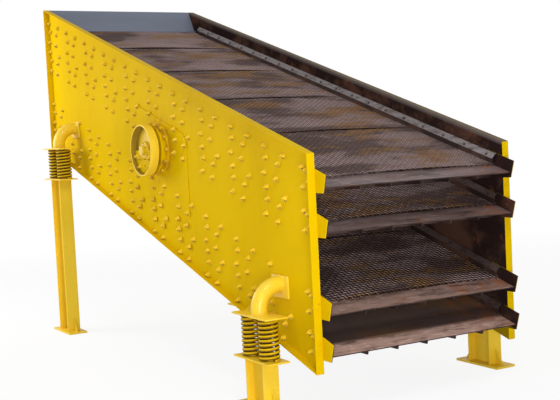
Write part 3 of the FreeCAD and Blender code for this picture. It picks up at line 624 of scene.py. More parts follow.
def cloth_finish():
    """Fine wire cloth of the lowest deck, darkened all over and rusty, with its weave as fine relief."""
    tone = colours()
    finish = Finish("fine_cloth", specular=0.3)
    cloud = finish.noise(1.0, 5, stretch=(2.2, 0.9, 2.2), roughness=0.6)
    colour = finish.mix(cloud.band(0.40, 0.62), tone.brown, tone.tan)
    fresh = finish.noise(1.0, 5, stretch=(5, 1.5, 5), offset=(2, 7, 4), roughness=0.66).band(0.56, 0.70)
    colour = finish.mix(fresh * 0.8, colour, tone.rust)
    step = 2 * math.pi / CLOTH_PITCH
    along = (finish.place("X", turn=(0, -sizes().slope, 0)) * step).reckon("SINE")
    across = (finish.place("Y") * step).reckon("SINE")
    weave = along * across
    # The whole cloth is darkened three quarters of the way towards dark primer
    colour = rusty_end(finish, finish.mix(0.76, colour, tone.primer))
    finish.set("Base Color", finish.mix(weave.band(-0.6, 0.6) * 0.35 + 0.65, tone.primer, colour))
    finish.set("Roughness", finish.noise(20, 3) * 0.25 + 0.6)
    finish.bump(weave + finish.noise(50, 3) * 0.8, 0.35, 0.003)


def worn_finish(name, colour_name, streaks, rusting, lift=1.0):
    """Bare or thinly painted plate, worn where it looks up and dark with rust where it doesn't."""
    tone = colours()
    finish = Finish(name, metallic=0.1, specular=0.35)
    base = [channel * lift for channel in getattr(tone, colour_name)]
    scratches = finish.noise(1.0, 5, stretch=streaks, roughness=0.65)
    brown = scratches.band(0.62 - rusting * 0.25, 0.85 - rusting * 0.25)
    colour = finish.mix(brown * 0.8, base, tone.old_rust)
    light = finish.noise(1.0, 4, stretch=streaks, offset=(2, 5, 3)).band(0.62, 0.8)
    colour = finish.mix(light * 0.5, colour, [min(1, channel * 1.9) for channel in base])
    fresh = finish.noise(3.4, 5, offset=(1, 6, 2), roughness=0.7)
    fresh = fresh.band(0.70 - rusting * 0.2, 0.84 - rusting * 0.2)
    colour = finish.mix(fresh * 0.75, colour, tone.rust)
    mottle = finish.noise(1.0, 6, stretch=[share * 2.4 for share in streaks], roughness=0.75).band(0.50, 0.62)
    colour = finish.mix(mottle * 0.70, colour, tone.primer)
    thin = [share * 7 for share in streaks]
    scrapes = finish.noise(1.0, 3, stretch=thin, offset=(4, 9, 6), roughness=0.6).band(0.60, 0.66)
    colour = finish.mix(scrapes * 0.40, colour, [min(1, channel * 2.4) for channel in base])
    if rusting > 0.5:
        colour = rusty_end(finish, colour)
    finish.set("Base Color", finish.mix(finish.facing("Z").band(0.2, 0.5), rust_colour(finish), colour))
    finish.set("Roughness", finish.noise(16, 3) * 0.3 + 0.40)
    finish.bump(finish.noise(70, 4), 0.25, 0.003)


def feed_finish():
    """Smooth blue grey primer."""
    tone = colours()
    finish = Finish("feed_primer", specular=0.4)
    dust = finish.noise(1.0, 4, stretch=(2, 0.8, 6)).band(0.4, 0.75)
    finish.set("Base Color", finish.mix(dust * 0.4, tone.feed, [channel * 0.72 for channel in tone.feed]))
    finish.set("Roughness", finish.noise(10, 3) * 0.2 + 0.42)
    finish.bump(finish.noise(40, 3), 0.12, 0.004)


def spring_finish():
    """Yellow enamel on the outside of each coil, with painted shade in dark brown where the turns face their
    own axis and where they look down.
    """
    tone = colours()
    finish = Finish("spring_enamel", specular=0.08)
    outside, outside_roughness, height = enamel(finish)
    legs = [sum(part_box(f"leg_{end}_left")[corner].x for corner in (0, 1)) / 2 for end in ENDS]
    middle, half = (legs[0] + legs[1]) / 2, (legs[0] - legs[1]) / 2
    seat_low, seat_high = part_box("leg_feed_left")
    along = ((finish.place("X") - middle).size() - half).size() - sizes().spring_pitch / 2
    across = finish.place("Y").size() + (seat_low.y + seat_high.y) / 2
    reach = distance(along, across)
    pair_low, pair_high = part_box("springs_feed_left")
    coil = (pair_high.y - pair_low.y) / 2 - sizes().coil_wire
    # Painted shade: turns darkened where they face the coil's axis and where they look down
    inner = 1 - reach.band(coil + 0.001, coil + 0.009)
    under = 1 - finish.facing("Z").band(-0.40, 0.45)
    shade_and_grime = inner + (1 - inner) * under * 0.85
    finish.set("Base Color", finish.mix(shade_and_grime * 0.97, outside, COIL_SHADE))
    finish.set("Roughness", outside_roughness + shade_and_grime * 0.4)
    finish.bump(height, 0.2, 0.01)


def shaft_finish():
    """Ground steel inside the bearings and yellow enamel on the ends that stand out of the hubs."""
    finish = Finish("shaft_steel", specular=0.4)
    colour, roughness, height = enamel(finish)
    outside = finish.place("Y").size().over(abs(DRUM_HIGH.y) + 0.002)
    finish.set("Base Color", finish.mix(outside, SHAFT_STEEL, colour))
    finish.set("Metallic", 1 - outside)
    finish.set("Roughness", roughness)
    finish.bump(height, 0.2, 0.006)


def bright_finish():
    """Ground steel with a thin oil film."""
    finish = Finish("ground_steel", metallic=1.0, specular=0.5)
    finish.set("Base Color", finish.mix(finish.noise(30, 3), BRIGHT_STEEL, OILED_STEEL))
    finish.set("Roughness", finish.noise(60, 2) * 0.2 + 0.22)


class SteelworkOperator(bpy.types.Operator):
    """Base of the operators that add or finish pieces."""

    bl_options = {"REGISTER", "UNDO"}

    def execute(self, context):
        self.make()
        return {"FINISHED"}


class SIEVE_OT_finishes(SteelworkOperator):
    """Make the finishes that all the pieces share"""

    bl_idname = "sieve.finishes"
    bl_label = "Finishes"

    def make(self):
        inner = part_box("side_plate_right")[0].y
        cheek_low, cheek_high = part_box("discharge_cheeks_right")
        yellow_finish("yellow_enamel")
        # The bracket, nut and leg finishes and the drums take the lit yellow, which is painted light
        yellow_finish("glossy_enamel", coat=0.20, specular=0.25, main="lit_yellow", deep="yellow")
        yellow_finish("nut_enamel", specular=0.08, main="lit_yellow", deep="yellow", shade_below=0.6)
        yellow_finish("leg_enamel", coat=0.05, specular=0.20, main="lit_yellow", deep="yellow")
        drum_finish()
        two_sided_finish("near_plate", inner + 0.0008)
        two_sided_finish("far_plate", inner + 0.0008, dark_top=True)
        two_sided_finish("cheek_plate", cheek_low.y + (cheek_high.y - cheek_low.y) * 0.6)
        dark_finish()
        wire_finish()
        cloth_finish()
        shaft_finish()
        worn_finish("rail_paint", "rail", (3, 12, 12), 0.35)
        worn_finish("rusty_rail", "dark_rail", (3, 12, 12), 0.45)
        worn_finish("lip_plate", "bare", (6, 1.1, 6), 0.6)
        worn_finish("rusty_lip", "brown", (6, 1.1, 6), 0.7)
        worn_finish("rubbed_lip", "brown", (6, 1.1, 6), 0.6, lift=1.6)
        feed_finish()
        spring_finish()
        bright_finish()


class SIEVE_OT_steelwork(SteelworkOperator):
    """Finish the steel nodes and round their cut edges"""

    bl_idname = "sieve.steelwork"
    bl_label = "Steelwork"

    finishes = {
        "side_plate_left": "near_plate", "side_plate_right": "far_plate", "discharge_cheeks": "cheek_plate",
        "exciter_doubler": "yellow_enamel", "housing_bolts": "nut_enamel", "leg": "leg_enamel",
        "bearing_housing": "yellow_enamel", "bearing_cover": "yellow_enamel", "flywheel": "yellow_enamel",
        "counterweight": "yellow_enamel", "spring_bracket": "yellow_enamel", "springs": "spring_enamel",
        "cross_beams": "rusty_primer", "support_bars": "rusty_primer", "exciter_tube": "rusty_primer",
        "screen_mesh_deck_4": "fine_cloth", "screen_mesh": "woven_wire", "clamp_rails_deck_1": "rail_paint",
        "clamp_rails": "rusty_rail", "discharge_lip_3": "rusty_lip",
        "discharge_lip_4": "rubbed_lip", "discharge_lip": "lip_plate",
        "feed_plate": "feed_primer", "bearing_outer": "ground_steel", "bearing_inner": "ground_steel",
        "bearing_rollers": "ground_steel", "eccentric_shaft": "shaft_steel",
    }
    rounded = ("side_plate", "exciter_doubler", "discharge_cheeks", "leg", "clamp_rails", "discharge_lip",
               "feed_plate", "cross_beams", "housing_bolts")

    def make(self):
        for name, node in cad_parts.items():
            finish = next(value for key, value in self.finishes.items() if name.startswith(key))
            paint(node, finish)
            if name.startswith(self.rounded):
                weld = node.modifiers.new("Weld", "WELD")
                weld.merge_threshold = MERGE
                edge = node.modifiers.new("Edge", "BEVEL")
                edge.width = sizes().edge
                edge.segments = 2
                edge.limit_method = "ANGLE"
                edge.angle_limit = math.radians(35)


class SIEVE_OT_woven_decks(SteelworkOperator):
    """Weave the wire panels of the three coarse decks"""

    bl_idname = "sieve.woven_decks"
    bl_label = "Woven decks"
    panels = 5
    seam = 0.006
    cage_points = (5, 7, 2)
    cage_margin = Vector((0.02, 0.02, 0.02))
    slack_middle = (0.10, 0.35)
    slack_end = (0.8, 1.0)

    def cell(self, step_x, step_y, lift):
        """Two by two crossings, each wire over one and under the next."""
        radius = lift * sizes().wire_swell
        wires = []
        for row in (0, 1):
            rise = lift * (1 - 2 * row)
            wires.append(tube_along("along", radius, sizes().wire_sides, (0, row * step_y, rise), (1, 0, 0),
                                    [(step_x, 0, -2 * rise), (step_x, 0, 2 * rise)]))
            wires.append(tube_along("across", radius, sizes().wire_sides, (row * step_x, 0, -rise), (0, 1, 0),
                                    [(0, step_y, 2 * rise), (0, step_y, -2 * rise)]))
        return joined("woven_cell", wires)

    def wear(self, piece, thick):
        """Note on each point how high in the weave it lies: stone rubs the crossings bright, and the low
        parts take painted shade.
        """
        note = piece.data.attributes.new("wear", "FLOAT", "POINT")
        for number, vertex in enumerate(piece.data.vertices):
            note.data[number].value = 0.5 + vertex.co.z / thick

    def bulge(self, piece, low, high, dice):
        """Let a loose panel stand up a little between its rails, most of all at its lower end."""
        bpy.ops.object.select_all(action="DESELECT")
        bpy.ops.object.add(type="LATTICE", location=(low + high) / 2)
        cage = bpy.context.active_object
        cage.scale = high - low + self.cage_margin
        cage.data.points_u, cage.data.points_v, cage.data.points_w = self.cage_points
        columns, last_row = self.cage_points[0], self.cage_points[1] - 1
        for number, point in enumerate(cage.data.points):
            column, row = number % columns, number // columns % (last_row + 1)
            crown = row * (last_row - row) / (last_row / 2) ** 2
            share = dice.uniform(*(self.slack_end if column == columns - 1 else self.slack_middle))
            point.co_deform.z += crown * share * sizes().bulge / cage.scale.z
        bpy.context.view_layer.update()
        modify(piece, "LATTICE", object=cage)
        remove(cage)

    def make(self):
        dice = random.Random(11)
        for deck in COARSE_DECKS:
            node = f"screen_mesh_deck_{deck}"
            low, high = deck_box(node)
            lift = (high.z - low.z) / 4
            long = (high.x - low.x + self.seam) / self.panels - self.seam
            wide = high.y - low.y
            pitch = sizes().mesh_pitch[deck - 1]
            cells_long = round(long / pitch / 2)
            cells_wide = round(wide / pitch / 2)
            step_x, step_y = long / cells_long / 2, wide / cells_wide / 2
            pattern = self.cell(step_x, step_y, lift)
            for count, step in ((cells_long, (2 * step_x, 0, 0)), (cells_wide, (0, 2 * step_y, 0))):
                modify(pattern, "ARRAY", count=count, use_relative_offset=False, use_constant_offset=True,
                       constant_offset_displace=step, use_merge_vertices=True, merge_threshold=MERGE)
            with editing(pattern):
                bpy.ops.mesh.fill_holes(sides=sizes().wire_sides)
                bpy.ops.mesh.select_all(action="SELECT")
                bpy.ops.mesh.normals_make_consistent(inside=False)
            smooth(pattern, 75)
            self.wear(pattern, high.z - low.z)
            middle = (low.z + high.z) / 2
            for panel in range(self.panels):
                lower_x = low.x + panel * (long + self.seam)
                piece = copies(pattern, [Matrix.Translation((lower_x, low.y, middle))])[0]
                piece.name = piece.data.name = f"woven_panel_{deck}_{panel + 1}"
                corner = Vector((lower_x, low.y, low.z))
                self.bulge(piece, corner, corner + Vector((long, wide, high.z - low.z)), dice)
                set_down(piece, deck_frame())
                dress(piece, "woven_wire", "box_body", "wire_mesh", node)
            remove(pattern)


class SIEVE_OT_coil_springs(SteelworkOperator):
    """Wind the eight coil springs with closed and ground ends"""

    bl_idname = "sieve.coil_springs"
    bl_label = "Coil springs"
    steps = 40
    sides = 12

    def coil(self, radius, height):
        """One spring standing on Z = 0."""
        wire = sizes().coil_wire
        closed = 2 * wire
        open_pitch = (height - 2 * closed) / sizes().coil_turns
        parts = []
        for lift, pitch, turns in ((0, closed, 1), (closed, open_pitch, sizes().coil_turns),
                                   (height - closed, closed, 1)):
            part = start(bpy.ops.mesh.primitive_circle_add, vertices=self.sides, radius=wire,
                         location=(radius, 0, lift), rotation=(math.pi / 2, 0, 0))
            modify(part, "SCREW", angle=2 * math.pi, screw_offset=pitch, iterations=turns, steps=self.steps,
                   render_steps=self.steps, axis="Z", use_normal_calculate=True, use_merge_vertices=False)
            parts.append(part)
        spring = clean(joined("coil", parts))
        with editing(spring):
            for level, way in ((0, -1), (height, 1)):
                bpy.ops.mesh.select_all(action="SELECT")
                bpy.ops.mesh.bisect(plane_co=(0, 0, level), plane_no=(0, 0, way), use_fill=True,
                                    clear_outer=True)
            bpy.ops.mesh.select_all(action="SELECT")
            bpy.ops.mesh.normals_make_consistent(inside=False)
        return smooth(spring, 50)

    def make(self):
        for end in ENDS:
            for side in SIDES:
                node = f"springs_{end}_{side}"
                low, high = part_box(node)
                middle = (low + high) / 2
                spring = self.coil((high.y - low.y) / 2 - sizes().coil_wire, high.z - low.z)
                half = sizes().spring_pitch / 2
                places = [Matrix.Translation((middle.x + way * half, middle.y, low.z)) for way in (-1, 1)]
                piece = joined(f"coils_{end}_{side}", copies(spring, places))
                remove(spring)
                paint(piece, "spring_enamel")
                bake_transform(piece)
                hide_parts(node)


class SIEVE_OT_spring_brackets(SteelworkOperator):
    """Shape the pipe elbows with their seats and pads"""

    bl_idname = "sieve.spring_brackets"
    bl_label = "Spring brackets"
    pipe = 0.066
    bend = 0.185
    seat_thick = 0.014
    pad_thick = 0.016
    guide = (0.080, 0.026)
    pad_size = (0.250, 0.220)
    pad_top = 0.070
    plate_edge = 0.003
    bead = 0.006
    bead_off_pipe = 0.003

    def elbow(self, rise, reach):
        """A pipe that rises along Z, bends and runs along Y."""
        straight = rise - self.bend
        piece = start(bpy.ops.mesh.primitive_circle_add, vertices=48, radius=self.pipe)
        with editing(piece):
            bpy.ops.mesh.extrude_region_move(TRANSFORM_OT_translate={"value": (0, 0, straight)})
            bpy.ops.mesh.spin(steps=20, angle=math.pi / 2, center=(0, self.bend, straight), axis=(1, 0, 0))
            bpy.ops.mesh.extrude_region_move(TRANSFORM_OT_translate={"value": (0, reach - self.bend, 0)})
        return clean(piece)

    def weld(self, place, name):
        """A rippled weld bead round the pipe."""
        piece = start(bpy.ops.mesh.primitive_torus_add, major_radius=self.pipe + self.bead_off_pipe,
                      minor_radius=self.bead, major_segments=72, minor_segments=8)
        ripple = bpy.data.textures.new(f"weld_ripple_{name}", "CLOUDS")
        ripple.noise_scale = 0.012
        modify(piece, "DISPLACE", texture=ripple, strength=self.bead * 0.7, mid_level=0.5)
        bpy.ops.object.shade_smooth()
        return set_down(piece, place)

    def make(self):
        for end in ENDS:
            for side, sign in SIDES.items():
                node = f"spring_bracket_{end}_{side}"
                low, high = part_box(node)
                leg_low, leg_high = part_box(f"leg_{end}_{side}")
                middle_x, middle_y = (low.x + high.x) / 2, (leg_low.y + leg_high.y) / 2
                half_guide = self.guide[0] / 2
                half_pad, half_tall = self.pad_size[0] / 2, self.pad_size[1] / 2
                seat = low.z + self.guide[1]
                foot = seat + self.seat_thick
                level = high.z - half_tall
                pad_face, outer = (low.y, high.y) if sign > 0 else (high.y, low.y)
                inner = pad_face + sign * self.pad_thick
                half_wide = abs(outer - middle_y)
                parts = [block("seat", (low.x, middle_y - half_wide, seat),
                               (high.x, middle_y + half_wide, foot))]
                for way in (-1, 1):
                    at = middle_x + way * sizes().spring_pitch / 2
                    parts.append(block("guide", (at - half_guide, middle_y - half_guide, low.z),
                                       (at + half_guide, middle_y + half_guide, seat)))
                near, far = sorted((pad_face, inner))
                parts.append(block("pad", (middle_x - half_pad, near, level - half_tall),
                                   (middle_x + half_pad, far, level + self.pad_top)))
                for part in parts:
                    soften(part, self.plate_edge)
                at_foot = Matrix.Translation((middle_x, middle_y, foot))
                at_pad = Matrix.Translation((middle_x, inner, level)) @ Matrix.Rotation(math.pi / 2, 4, "X")
                turn = Matrix.Rotation(math.pi if sign > 0 else 0, 4, "Z")
                reach = abs(middle_y - pad_face) - self.pad_thick
                parts.append(smooth(set_down(self.elbow(level - foot, reach), at_foot @ turn)))
                parts.append(self.weld(at_foot, f"{end}_{side}_foot"))
                parts.append(self.weld(at_pad, f"{end}_{side}_pad"))
                piece = joined(f"bracket_{end}_{side}", parts)
                dress(piece, "glossy_enamel", "box_body", "yellow_paint", node)


class SIEVE_OT_bearing_housings(SteelworkOperator):
    """Turn the bearing housings and covers with rounded edges"""

    bl_idname = "sieve.bearing_housings"
    bl_label = "Bearing housings"

    # Radii and lengths along the shaft, in metres
    bore = 0.112
    spigot = 0.156
    spigot_long = 0.052
    flange_thick = 0.025
    collar = 0.205
    collar_slope = 0.008
    seat_gap = 0.0002
    lid_bore = 0.062
    groove_in, groove_out = 0.102, 0.150
    groove_deep = 0.004
    cast_edge = 0.0025

    def make(self):
        for side in SIDES:
            house_low, house_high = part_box(f"bearing_housing_{side}")
            cover_low, cover_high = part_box(f"bearing_cover_{side}")
            face = max(abs(house_low.y), abs(house_high.y))
            cover_face = max(abs(cover_low.y), abs(cover_high.y))
            doubler = max(abs(corner.y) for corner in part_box(f"exciter_doubler_{side}"))
            flange = (house_high.x - house_low.x) / 2
            cover = (cover_high.x - cover_low.x) / 2
            flange_face = doubler + self.flange_thick
            spigot_end, seat = doubler - self.spigot_long, doubler + self.seat_gap
            housing = turned(f"housing_{side}", [
                (self.bore, spigot_end), (self.spigot, spigot_end), (self.spigot, seat),
                (flange, seat), (flange, flange_face), (self.collar + self.collar_slope, flange_face),
                (self.collar, flange_face + self.collar_slope), (self.collar, face), (self.bore, face)],
                closed=True)
            floor = cover_face - self.groove_deep
            lid = turned(f"cover_{side}", [
                (self.lid_bore, face), (cover, face), (cover, cover_face), (self.groove_out, cover_face),
                (self.groove_out - self.groove_deep, floor), (self.groove_in + self.groove_deep, floor),
                (self.groove_in, cover_face), (self.lid_bore, cover_face)], closed=True)
            for piece, node in ((housing, "bearing_housing"), (lid, "bearing_cover")):
                soften(piece, self.cast_edge)
                set_down(piece, outward(side, AXIS.x, AXIS.z))
                dress(piece, "yellow_enamel", "box_body", "yellow_paint", f"{node}_{side}")


class SIEVE_OT_flywheels(SteelworkOperator):
    """Turn the open drums, with hub, counterweight and their bolts"""

    bl_idname = "sieve.flywheels"
    bl_label = "Flywheels"

    # Radii and lengths along the shaft, in metres, and spots as distance and degrees round the shaft
    web = 0.016
    hub = 0.082
    hub_long = 0.036
    bore = 0.0601
    weight_outer = 0.222
    weight_inner = 0.090
    weight_thick = 0.030
    weight_hole = 0.013
    weight_hole_at = 0.150
    edge = 0.003
    root = 0.010
    hub_root = 0.008
    weight_nut = {"flats": 0.030, "height": 0.018, "washer": 0.024, "thread": 0.009}
    weight_spots = ((0.195, 198), (0.195, 234), (0.195, 306), (0.195, 342), (0.130, 215), (0.130, 325))
    hub_nut = {"flats": 0.017, "height": 0.010, "washer": 0.012, "thread": 0.004}
    hub_spots = tuple((0.071, turn) for turn in range(30, 390, 60))

    def drum(self, side, back, front, radius):
        """Rim, back plate and hub as one turned piece."""
        inside, face = radius - DRUM_WALL, back + self.web
        hub_face = face + self.hub_long
        piece = turned(f"drum_{side}", [
            (self.bore, back), (radius, back), (radius, front), (inside, front), (inside, face + self.root),
            (inside - self.root, face), (self.hub + self.hub_root, face), (self.hub, face + self.hub_root),
            (self.hub, hub_face), (self.bore, hub_face)], steps=128, closed=True)
        return soften(piece, self.edge)

    def weight(self, side, face):
        """Half-round weight with a lifting hole, under the shaft."""
        top = face + self.weight_thick
        piece = turned(f"weight_{side}", [
            (self.weight_inner, face), (self.weight_outer, face), (self.weight_outer, top),
            (self.weight_inner, top)], steps=128, closed=True)
        with editing(piece):
            bpy.ops.mesh.bisect(plane_co=(0, 0, 0), plane_no=(0, 1, 0), use_fill=True, clear_outer=True)
        drill = start(bpy.ops.mesh.primitive_cylinder_add, vertices=32, radius=self.weight_hole,
                      depth=self.weight_thick * 4, location=(0, -self.weight_hole_at, face))
        modify(piece, "BOOLEAN", object=drill, operation="DIFFERENCE", solver="EXACT")
        remove(drill)
        return soften(clean(piece), self.edge)

    def ring_of(self, name, size, spots, level):
        """Nuts at (distance, degrees) spots round the shaft."""
        pattern = nut(name, **size)
        places = []
        for reach, degrees in spots:
            turn = math.radians(degrees)
            places.append(Matrix.Translation((reach * math.cos(turn), reach * math.sin(turn), level)))
        made = copies(pattern, places)
        remove(pattern)
        return made

    def make(self):
        for side in SIDES:
            low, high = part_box(f"flywheel_{side}")
            back, front = sorted((abs(low.y), abs(high.y)))
            radius = (high.x - low.x) / 2
            face = back + self.web
            place = outward(side, AXIS.x, AXIS.z)
            drum = set_down(self.drum(side, back, front, radius), place)
            dress(drum, "drum_enamel", "rotor_body", "yellow_paint", f"flywheel_{side}")
            weight = set_down(self.weight(side, face), place)
            dress(weight, "yellow_enamel", "rotor_body", "yellow_paint", f"counterweight_{side}")
            made = (self.ring_of("weight_bolt", self.weight_nut, self.weight_spots, face + self.weight_thick)
                    + self.ring_of("hub_bolt", self.hub_nut, self.hub_spots, face + self.hub_long))
            bolts = set_down(joined(f"weight_bolts_{side}", made), place)
            dress(bolts, "nut_enamel", "rotor_body", "yellow_paint")


class SIEVE_OT_plate_bolts(SteelworkOperator):
    """Bolt the beams, rails and cheeks to both side plates"""

    bl_idname = "sieve.plate_bolts"
    bl_label = "Plate bolts"
    rail_height = 0.058
    rail_count = 21
    beam_count = 10
    plate_half = 0.120
    end_plate_drop = 0.080
    clear_of_exciter = 0.285
    pad_half, pad_below, pad_above = 0.155, 0.25, 0.03
    doubler_margin = 0.02
    cheek_spots = ((-0.120, 0.050), (-0.060, -0.025), (-0.135, -0.085))
    nut_size = {"height": 0.022, "washer": 0.0265, "thread": 0.011}

    def spots(self):
        """Places of the bolts as (x, z) in the decks' own frame."""
        half_along, half_across = sizes().beam_bolts_along / 2, sizes().beam_bolts_across / 2
        found = []
        for deck in DECKS:
            mesh_low, mesh_high = deck_box(f"screen_mesh_deck_{deck}")
            beam_low, beam_high = deck_box(f"cross_beams_deck_{deck}")
            row = rail_bolt_row(mesh_high.z, self.rail_count)
            found += [(x, mesh_high.z + self.rail_height) for x in row]
            first, last = beam_high.x - self.plate_half, beam_low.x + self.plate_half
            z = mesh_low.z - self.end_plate_drop
            for number in range(self.beam_count):
                x = first + (last - first) * number / (self.beam_count - 1)
                for along in (-half_along, half_along):
                    found += [(x + along, z - half_across), (x + along, z + half_across)]
            for along, above in self.cheek_spots:
                found.append((discharge_edge(mesh_high.z) + along, mesh_high.z + above))
        return found

    def covered(self, point, brackets):
        """Whether the exciter or the pad of a spring bracket covers a place."""
        if math.hypot(point.x - AXIS.x, point.z - AXIS.z) < self.clear_of_exciter:
            return True
        return any(abs(point.x - (low.x + high.x) / 2) < self.pad_half
                   and high.z - self.pad_below < point.z < high.z + self.pad_above for low, high in brackets)

    def foot(self, point, low, high):
        """How far out a nut stands: on the exciter's doubler or on the bare plate behind it."""
        level = point.z + (point.x - low.x) * math.tan(sizes().slope)
        raised = low.x < point.x < high.x and low.z < level < high.z + self.doubler_margin
        return abs(low.y) if raised else abs(high.y)

    def make(self):
        pattern = nut("plate_nut", sizes().bolt_flats, **self.nut_size)
        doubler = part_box("exciter_doubler_left")
        for side in SIDES:
            brackets = [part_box(f"spring_bracket_{end}_{side}") for end in ENDS]
            places = []
            for x, z in self.spots():
                point = deck_frame() @ Vector((x, 0, z))
                if self.covered(point, brackets):
                    continue
                turn = math.radians(random.Random(f"{x:.2f}{z:.2f}").uniform(0, 60))
                out = Matrix.Translation((0, 0, self.foot(point, *doubler)))
                places.append(outward(side, point.x, point.z) @ out @ Matrix.Rotation(turn, 4, "Z"))
            piece = joined(f"plate_bolts_{side}", copies(pattern, places))
            dress(piece, "nut_enamel", "box_body", "yellow_paint")
        remove(pattern)


class SIEVE_OT_rail_bolts(SteelworkOperator):
    """Bolt heads along the clamp rails, inside the screen box"""

    bl_idname = "sieve.rail_bolts"
    bl_label = "Rail bolts"
    count = 20
    end_margin = 0.03
    face_in = 0.0245
    face_up = 0.065
    lean = math.radians(54)
    head_size = {"flats": 0.024, "height": 0.010, "washer": 0.016, "thread": 0.006}

    def make(self):
        pattern = nut("rail_head", **self.head_size)
        for deck in DECKS:
            low, high = deck_box(f"clamp_rails_deck_{deck}")
            top = deck_box(f"screen_mesh_deck_{deck}")[1].z
            row = [x for x in rail_bolt_row(top, self.count) if x >= low.x + self.end_margin]
            places = []
            for sign in SIDES.values():
                y, z = sign * (high.y - self.face_in), top + self.face_up
                lean = Matrix.Rotation(sign * self.lean, 4, "X")
                places += [Matrix.Translation((x, y, z)) @ lean for x in row]
            piece = set_down(joined(f"rail_bolts_{deck}", copies(pattern, places)), deck_frame())
            dress(piece, "rail_paint" if deck == 1 else "rusty_rail", "box_body", "rail_steel")
        remove(pattern)


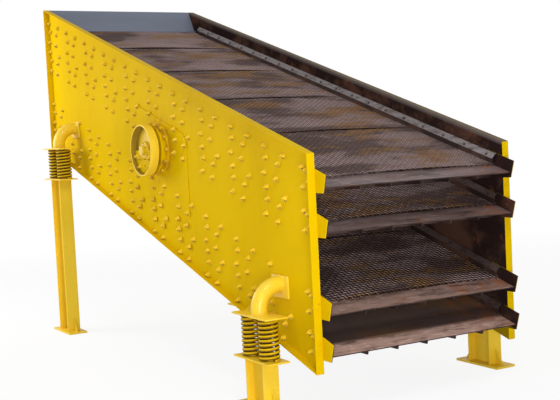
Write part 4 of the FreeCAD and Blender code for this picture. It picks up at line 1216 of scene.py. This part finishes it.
class SIEVE_OT_studio(SteelworkOperator):
    """Pale floor, soft lamps and the camera"""

    bl_idname = "sieve.studio"
    bl_label = "Studio"
    floor_size = 160
    floor_drop = 0.002
    floor_glow = 0.88
    fade = (20, 150)
    frame_width = 36
    view_length = 400

    # Name, place, aim and size of each lamp; its power is the setting of the same name
    lamps = (
        ("key", (8.0, -3.6, 10.0), (0, 0, 1.6), 3.2),
        ("fill", (-5.0, -4.8, 3.6), (-2.6, -0.9, 2.8), 3.0),
        ("low", (7.5, -3.2, 0.9), (1.4, -1.0, 0.7), 2.0),
    )

    def lamp(self, name, place, aim, size, power):
        """A large soft lamp."""
        lamp = bpy.data.lights.new(name, "AREA")
        lamp.shape, lamp.size, lamp.size_y, lamp.energy = "RECTANGLE", size, size, power
        thing = bpy.data.objects.new(name, lamp)
        bpy.context.collection.objects.link(thing)
        thing.location = place
        thing.rotation_euler = (Vector(aim) - Vector(place)).to_track_quat("-Z", "Y").to_euler()

    def floor(self):
        """A pale floor that keeps a soft shadow and fades into the white background."""
        start(bpy.ops.mesh.primitive_plane_add, size=self.floor_size, location=(0, 0, -self.floor_drop))
        piece = named("floor")
        finish = Finish("floor_paint", roughness=0.9)
        finish.set("Base Color", FLOOR_GREY)
        glow = finish.node("ShaderNodeEmission", None, {"Color": (1, 1, 1), "Strength": 1.0})
        path = finish.node("ShaderNodeLightPath")
        away = finish.place("X") * finish.place("X") + finish.place("Y") * finish.place("Y")
        far = away.band(*self.fade)
        seen = Number(finish, path.outputs["Is Camera Ray"]) * (self.floor_glow + far * (1 - self.floor_glow))
        inputs = {0: seen, 1: finish.shader.outputs[0], 2: glow.outputs[0]}
        mixer = finish.node("ShaderNodeMixShader", None, inputs)
        finish.feed(finish.tree.nodes["Material Output"].inputs[0], mixer.outputs[0])
        piece.data.materials.append(finish.material)

    def sky(self, strength):
        """Soft light all round, white where the camera or a glossy surface looks at it."""
        world = bpy.data.worlds.new("studio_sky")
        world.use_nodes = True
        bpy.context.scene.world = world
        tree = world.node_tree
        background = tree.nodes["Background"]
        path = tree.nodes.new("ShaderNodeLightPath")
        seen = tree.nodes.new("ShaderNodeMath")
        seen.operation = "MAXIMUM"
        tree.links.new(path.outputs["Is Camera Ray"], seen.inputs[0])
        tree.links.new(path.outputs["Is Glossy Ray"], seen.inputs[1])
        level = tree.nodes.new("ShaderNodeMapRange")
        level.inputs[3].default_value = strength
        level.inputs[4].default_value = 1.0
        tree.links.new(seen.outputs[0], level.inputs[0])
        background.inputs["Color"].default_value = (1, 1, 1, 1)
        tree.links.new(level.outputs[0], background.inputs["Strength"])

    def camera(self, studio):
        """The camera at the photograph's angle."""
        azimuth, elevation, roll = studio.azimuth, studio.elevation, studio.roll
        ahead = -Vector((math.sin(azimuth) * math.cos(elevation), -math.cos(azimuth) * math.cos(elevation),
                         math.sin(elevation)))
        level = ahead.cross(Vector((0, 0, 1))).normalized()
        above = level.cross(ahead)
        right = math.cos(roll) * level + math.sin(roll) * above
        up = math.cos(roll) * above - math.sin(roll) * level
        camera = bpy.data.cameras.new("camera")
        camera.lens, camera.sensor_width = studio.lens, self.frame_width
        camera.clip_end = self.view_length
        thing = bpy.data.objects.new("camera", camera)
        bpy.context.collection.objects.link(thing)
        turn = Matrix((right, up, -ahead)).transposed().to_4x4()
        thing.matrix_world = Matrix.Translation(studio.camera_place) @ turn
        bpy.context.scene.camera = thing

    def make(self):
        studio = bpy.context.scene.studio_settings
        self.floor()
        self.sky(studio.sky)
        for name, place, aim, size in self.lamps:
            self.lamp(name, place, aim, size, getattr(studio, name))
        self.camera(studio)
        bpy.context.scene.view_settings.view_transform = "Standard"


class SIEVE_PT_panel(bpy.types.Panel):
    """Lists the steps in the sidebar"""

    bl_label = "Vibrating screen"
    bl_idname = "SIEVE_PT_panel"
    bl_space_type = "VIEW_3D"
    bl_region_type = "UI"
    bl_category = "Screen"

    def draw(self, context):
        for step in STEPS:
            self.layout.operator(step.bl_idname)
        for name in GROUPS:
            group = getattr(context.scene, name)
            for setting in group.__annotations__:
                self.layout.prop(group, setting)


GROUPS = {"steelwork_sizes": SteelworkSizes, "finish_colours": FinishColours,
          "studio_settings": StudioSettings}
STEPS = (SIEVE_OT_finishes, SIEVE_OT_steelwork, SIEVE_OT_woven_decks, SIEVE_OT_coil_springs,
         SIEVE_OT_spring_brackets, SIEVE_OT_bearing_housings, SIEVE_OT_flywheels, SIEVE_OT_plate_bolts,
         SIEVE_OT_rail_bolts, SIEVE_OT_studio)


def register():
    for group in GROUPS.values():
        bpy.utils.register_class(group)
    for step in STEPS:
        bpy.utils.register_class(step)
    bpy.utils.register_class(SIEVE_PT_panel)
    for name, group in GROUPS.items():
        setattr(bpy.types.Scene, name, PointerProperty(type=group))


def unregister():
    for name in GROUPS:
        delattr(bpy.types.Scene, name)
    bpy.utils.unregister_class(SIEVE_PT_panel)
    for step in reversed(STEPS):
        bpy.utils.unregister_class(step)
    for group in reversed(GROUPS.values()):
        bpy.utils.unregister_class(group)


def main():
    register()
    for step in STEPS:
        family, name = step.bl_idname.split(".")
        getattr(getattr(bpy.ops, family), name)()
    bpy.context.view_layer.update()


if __name__ == "__main__":
    main()
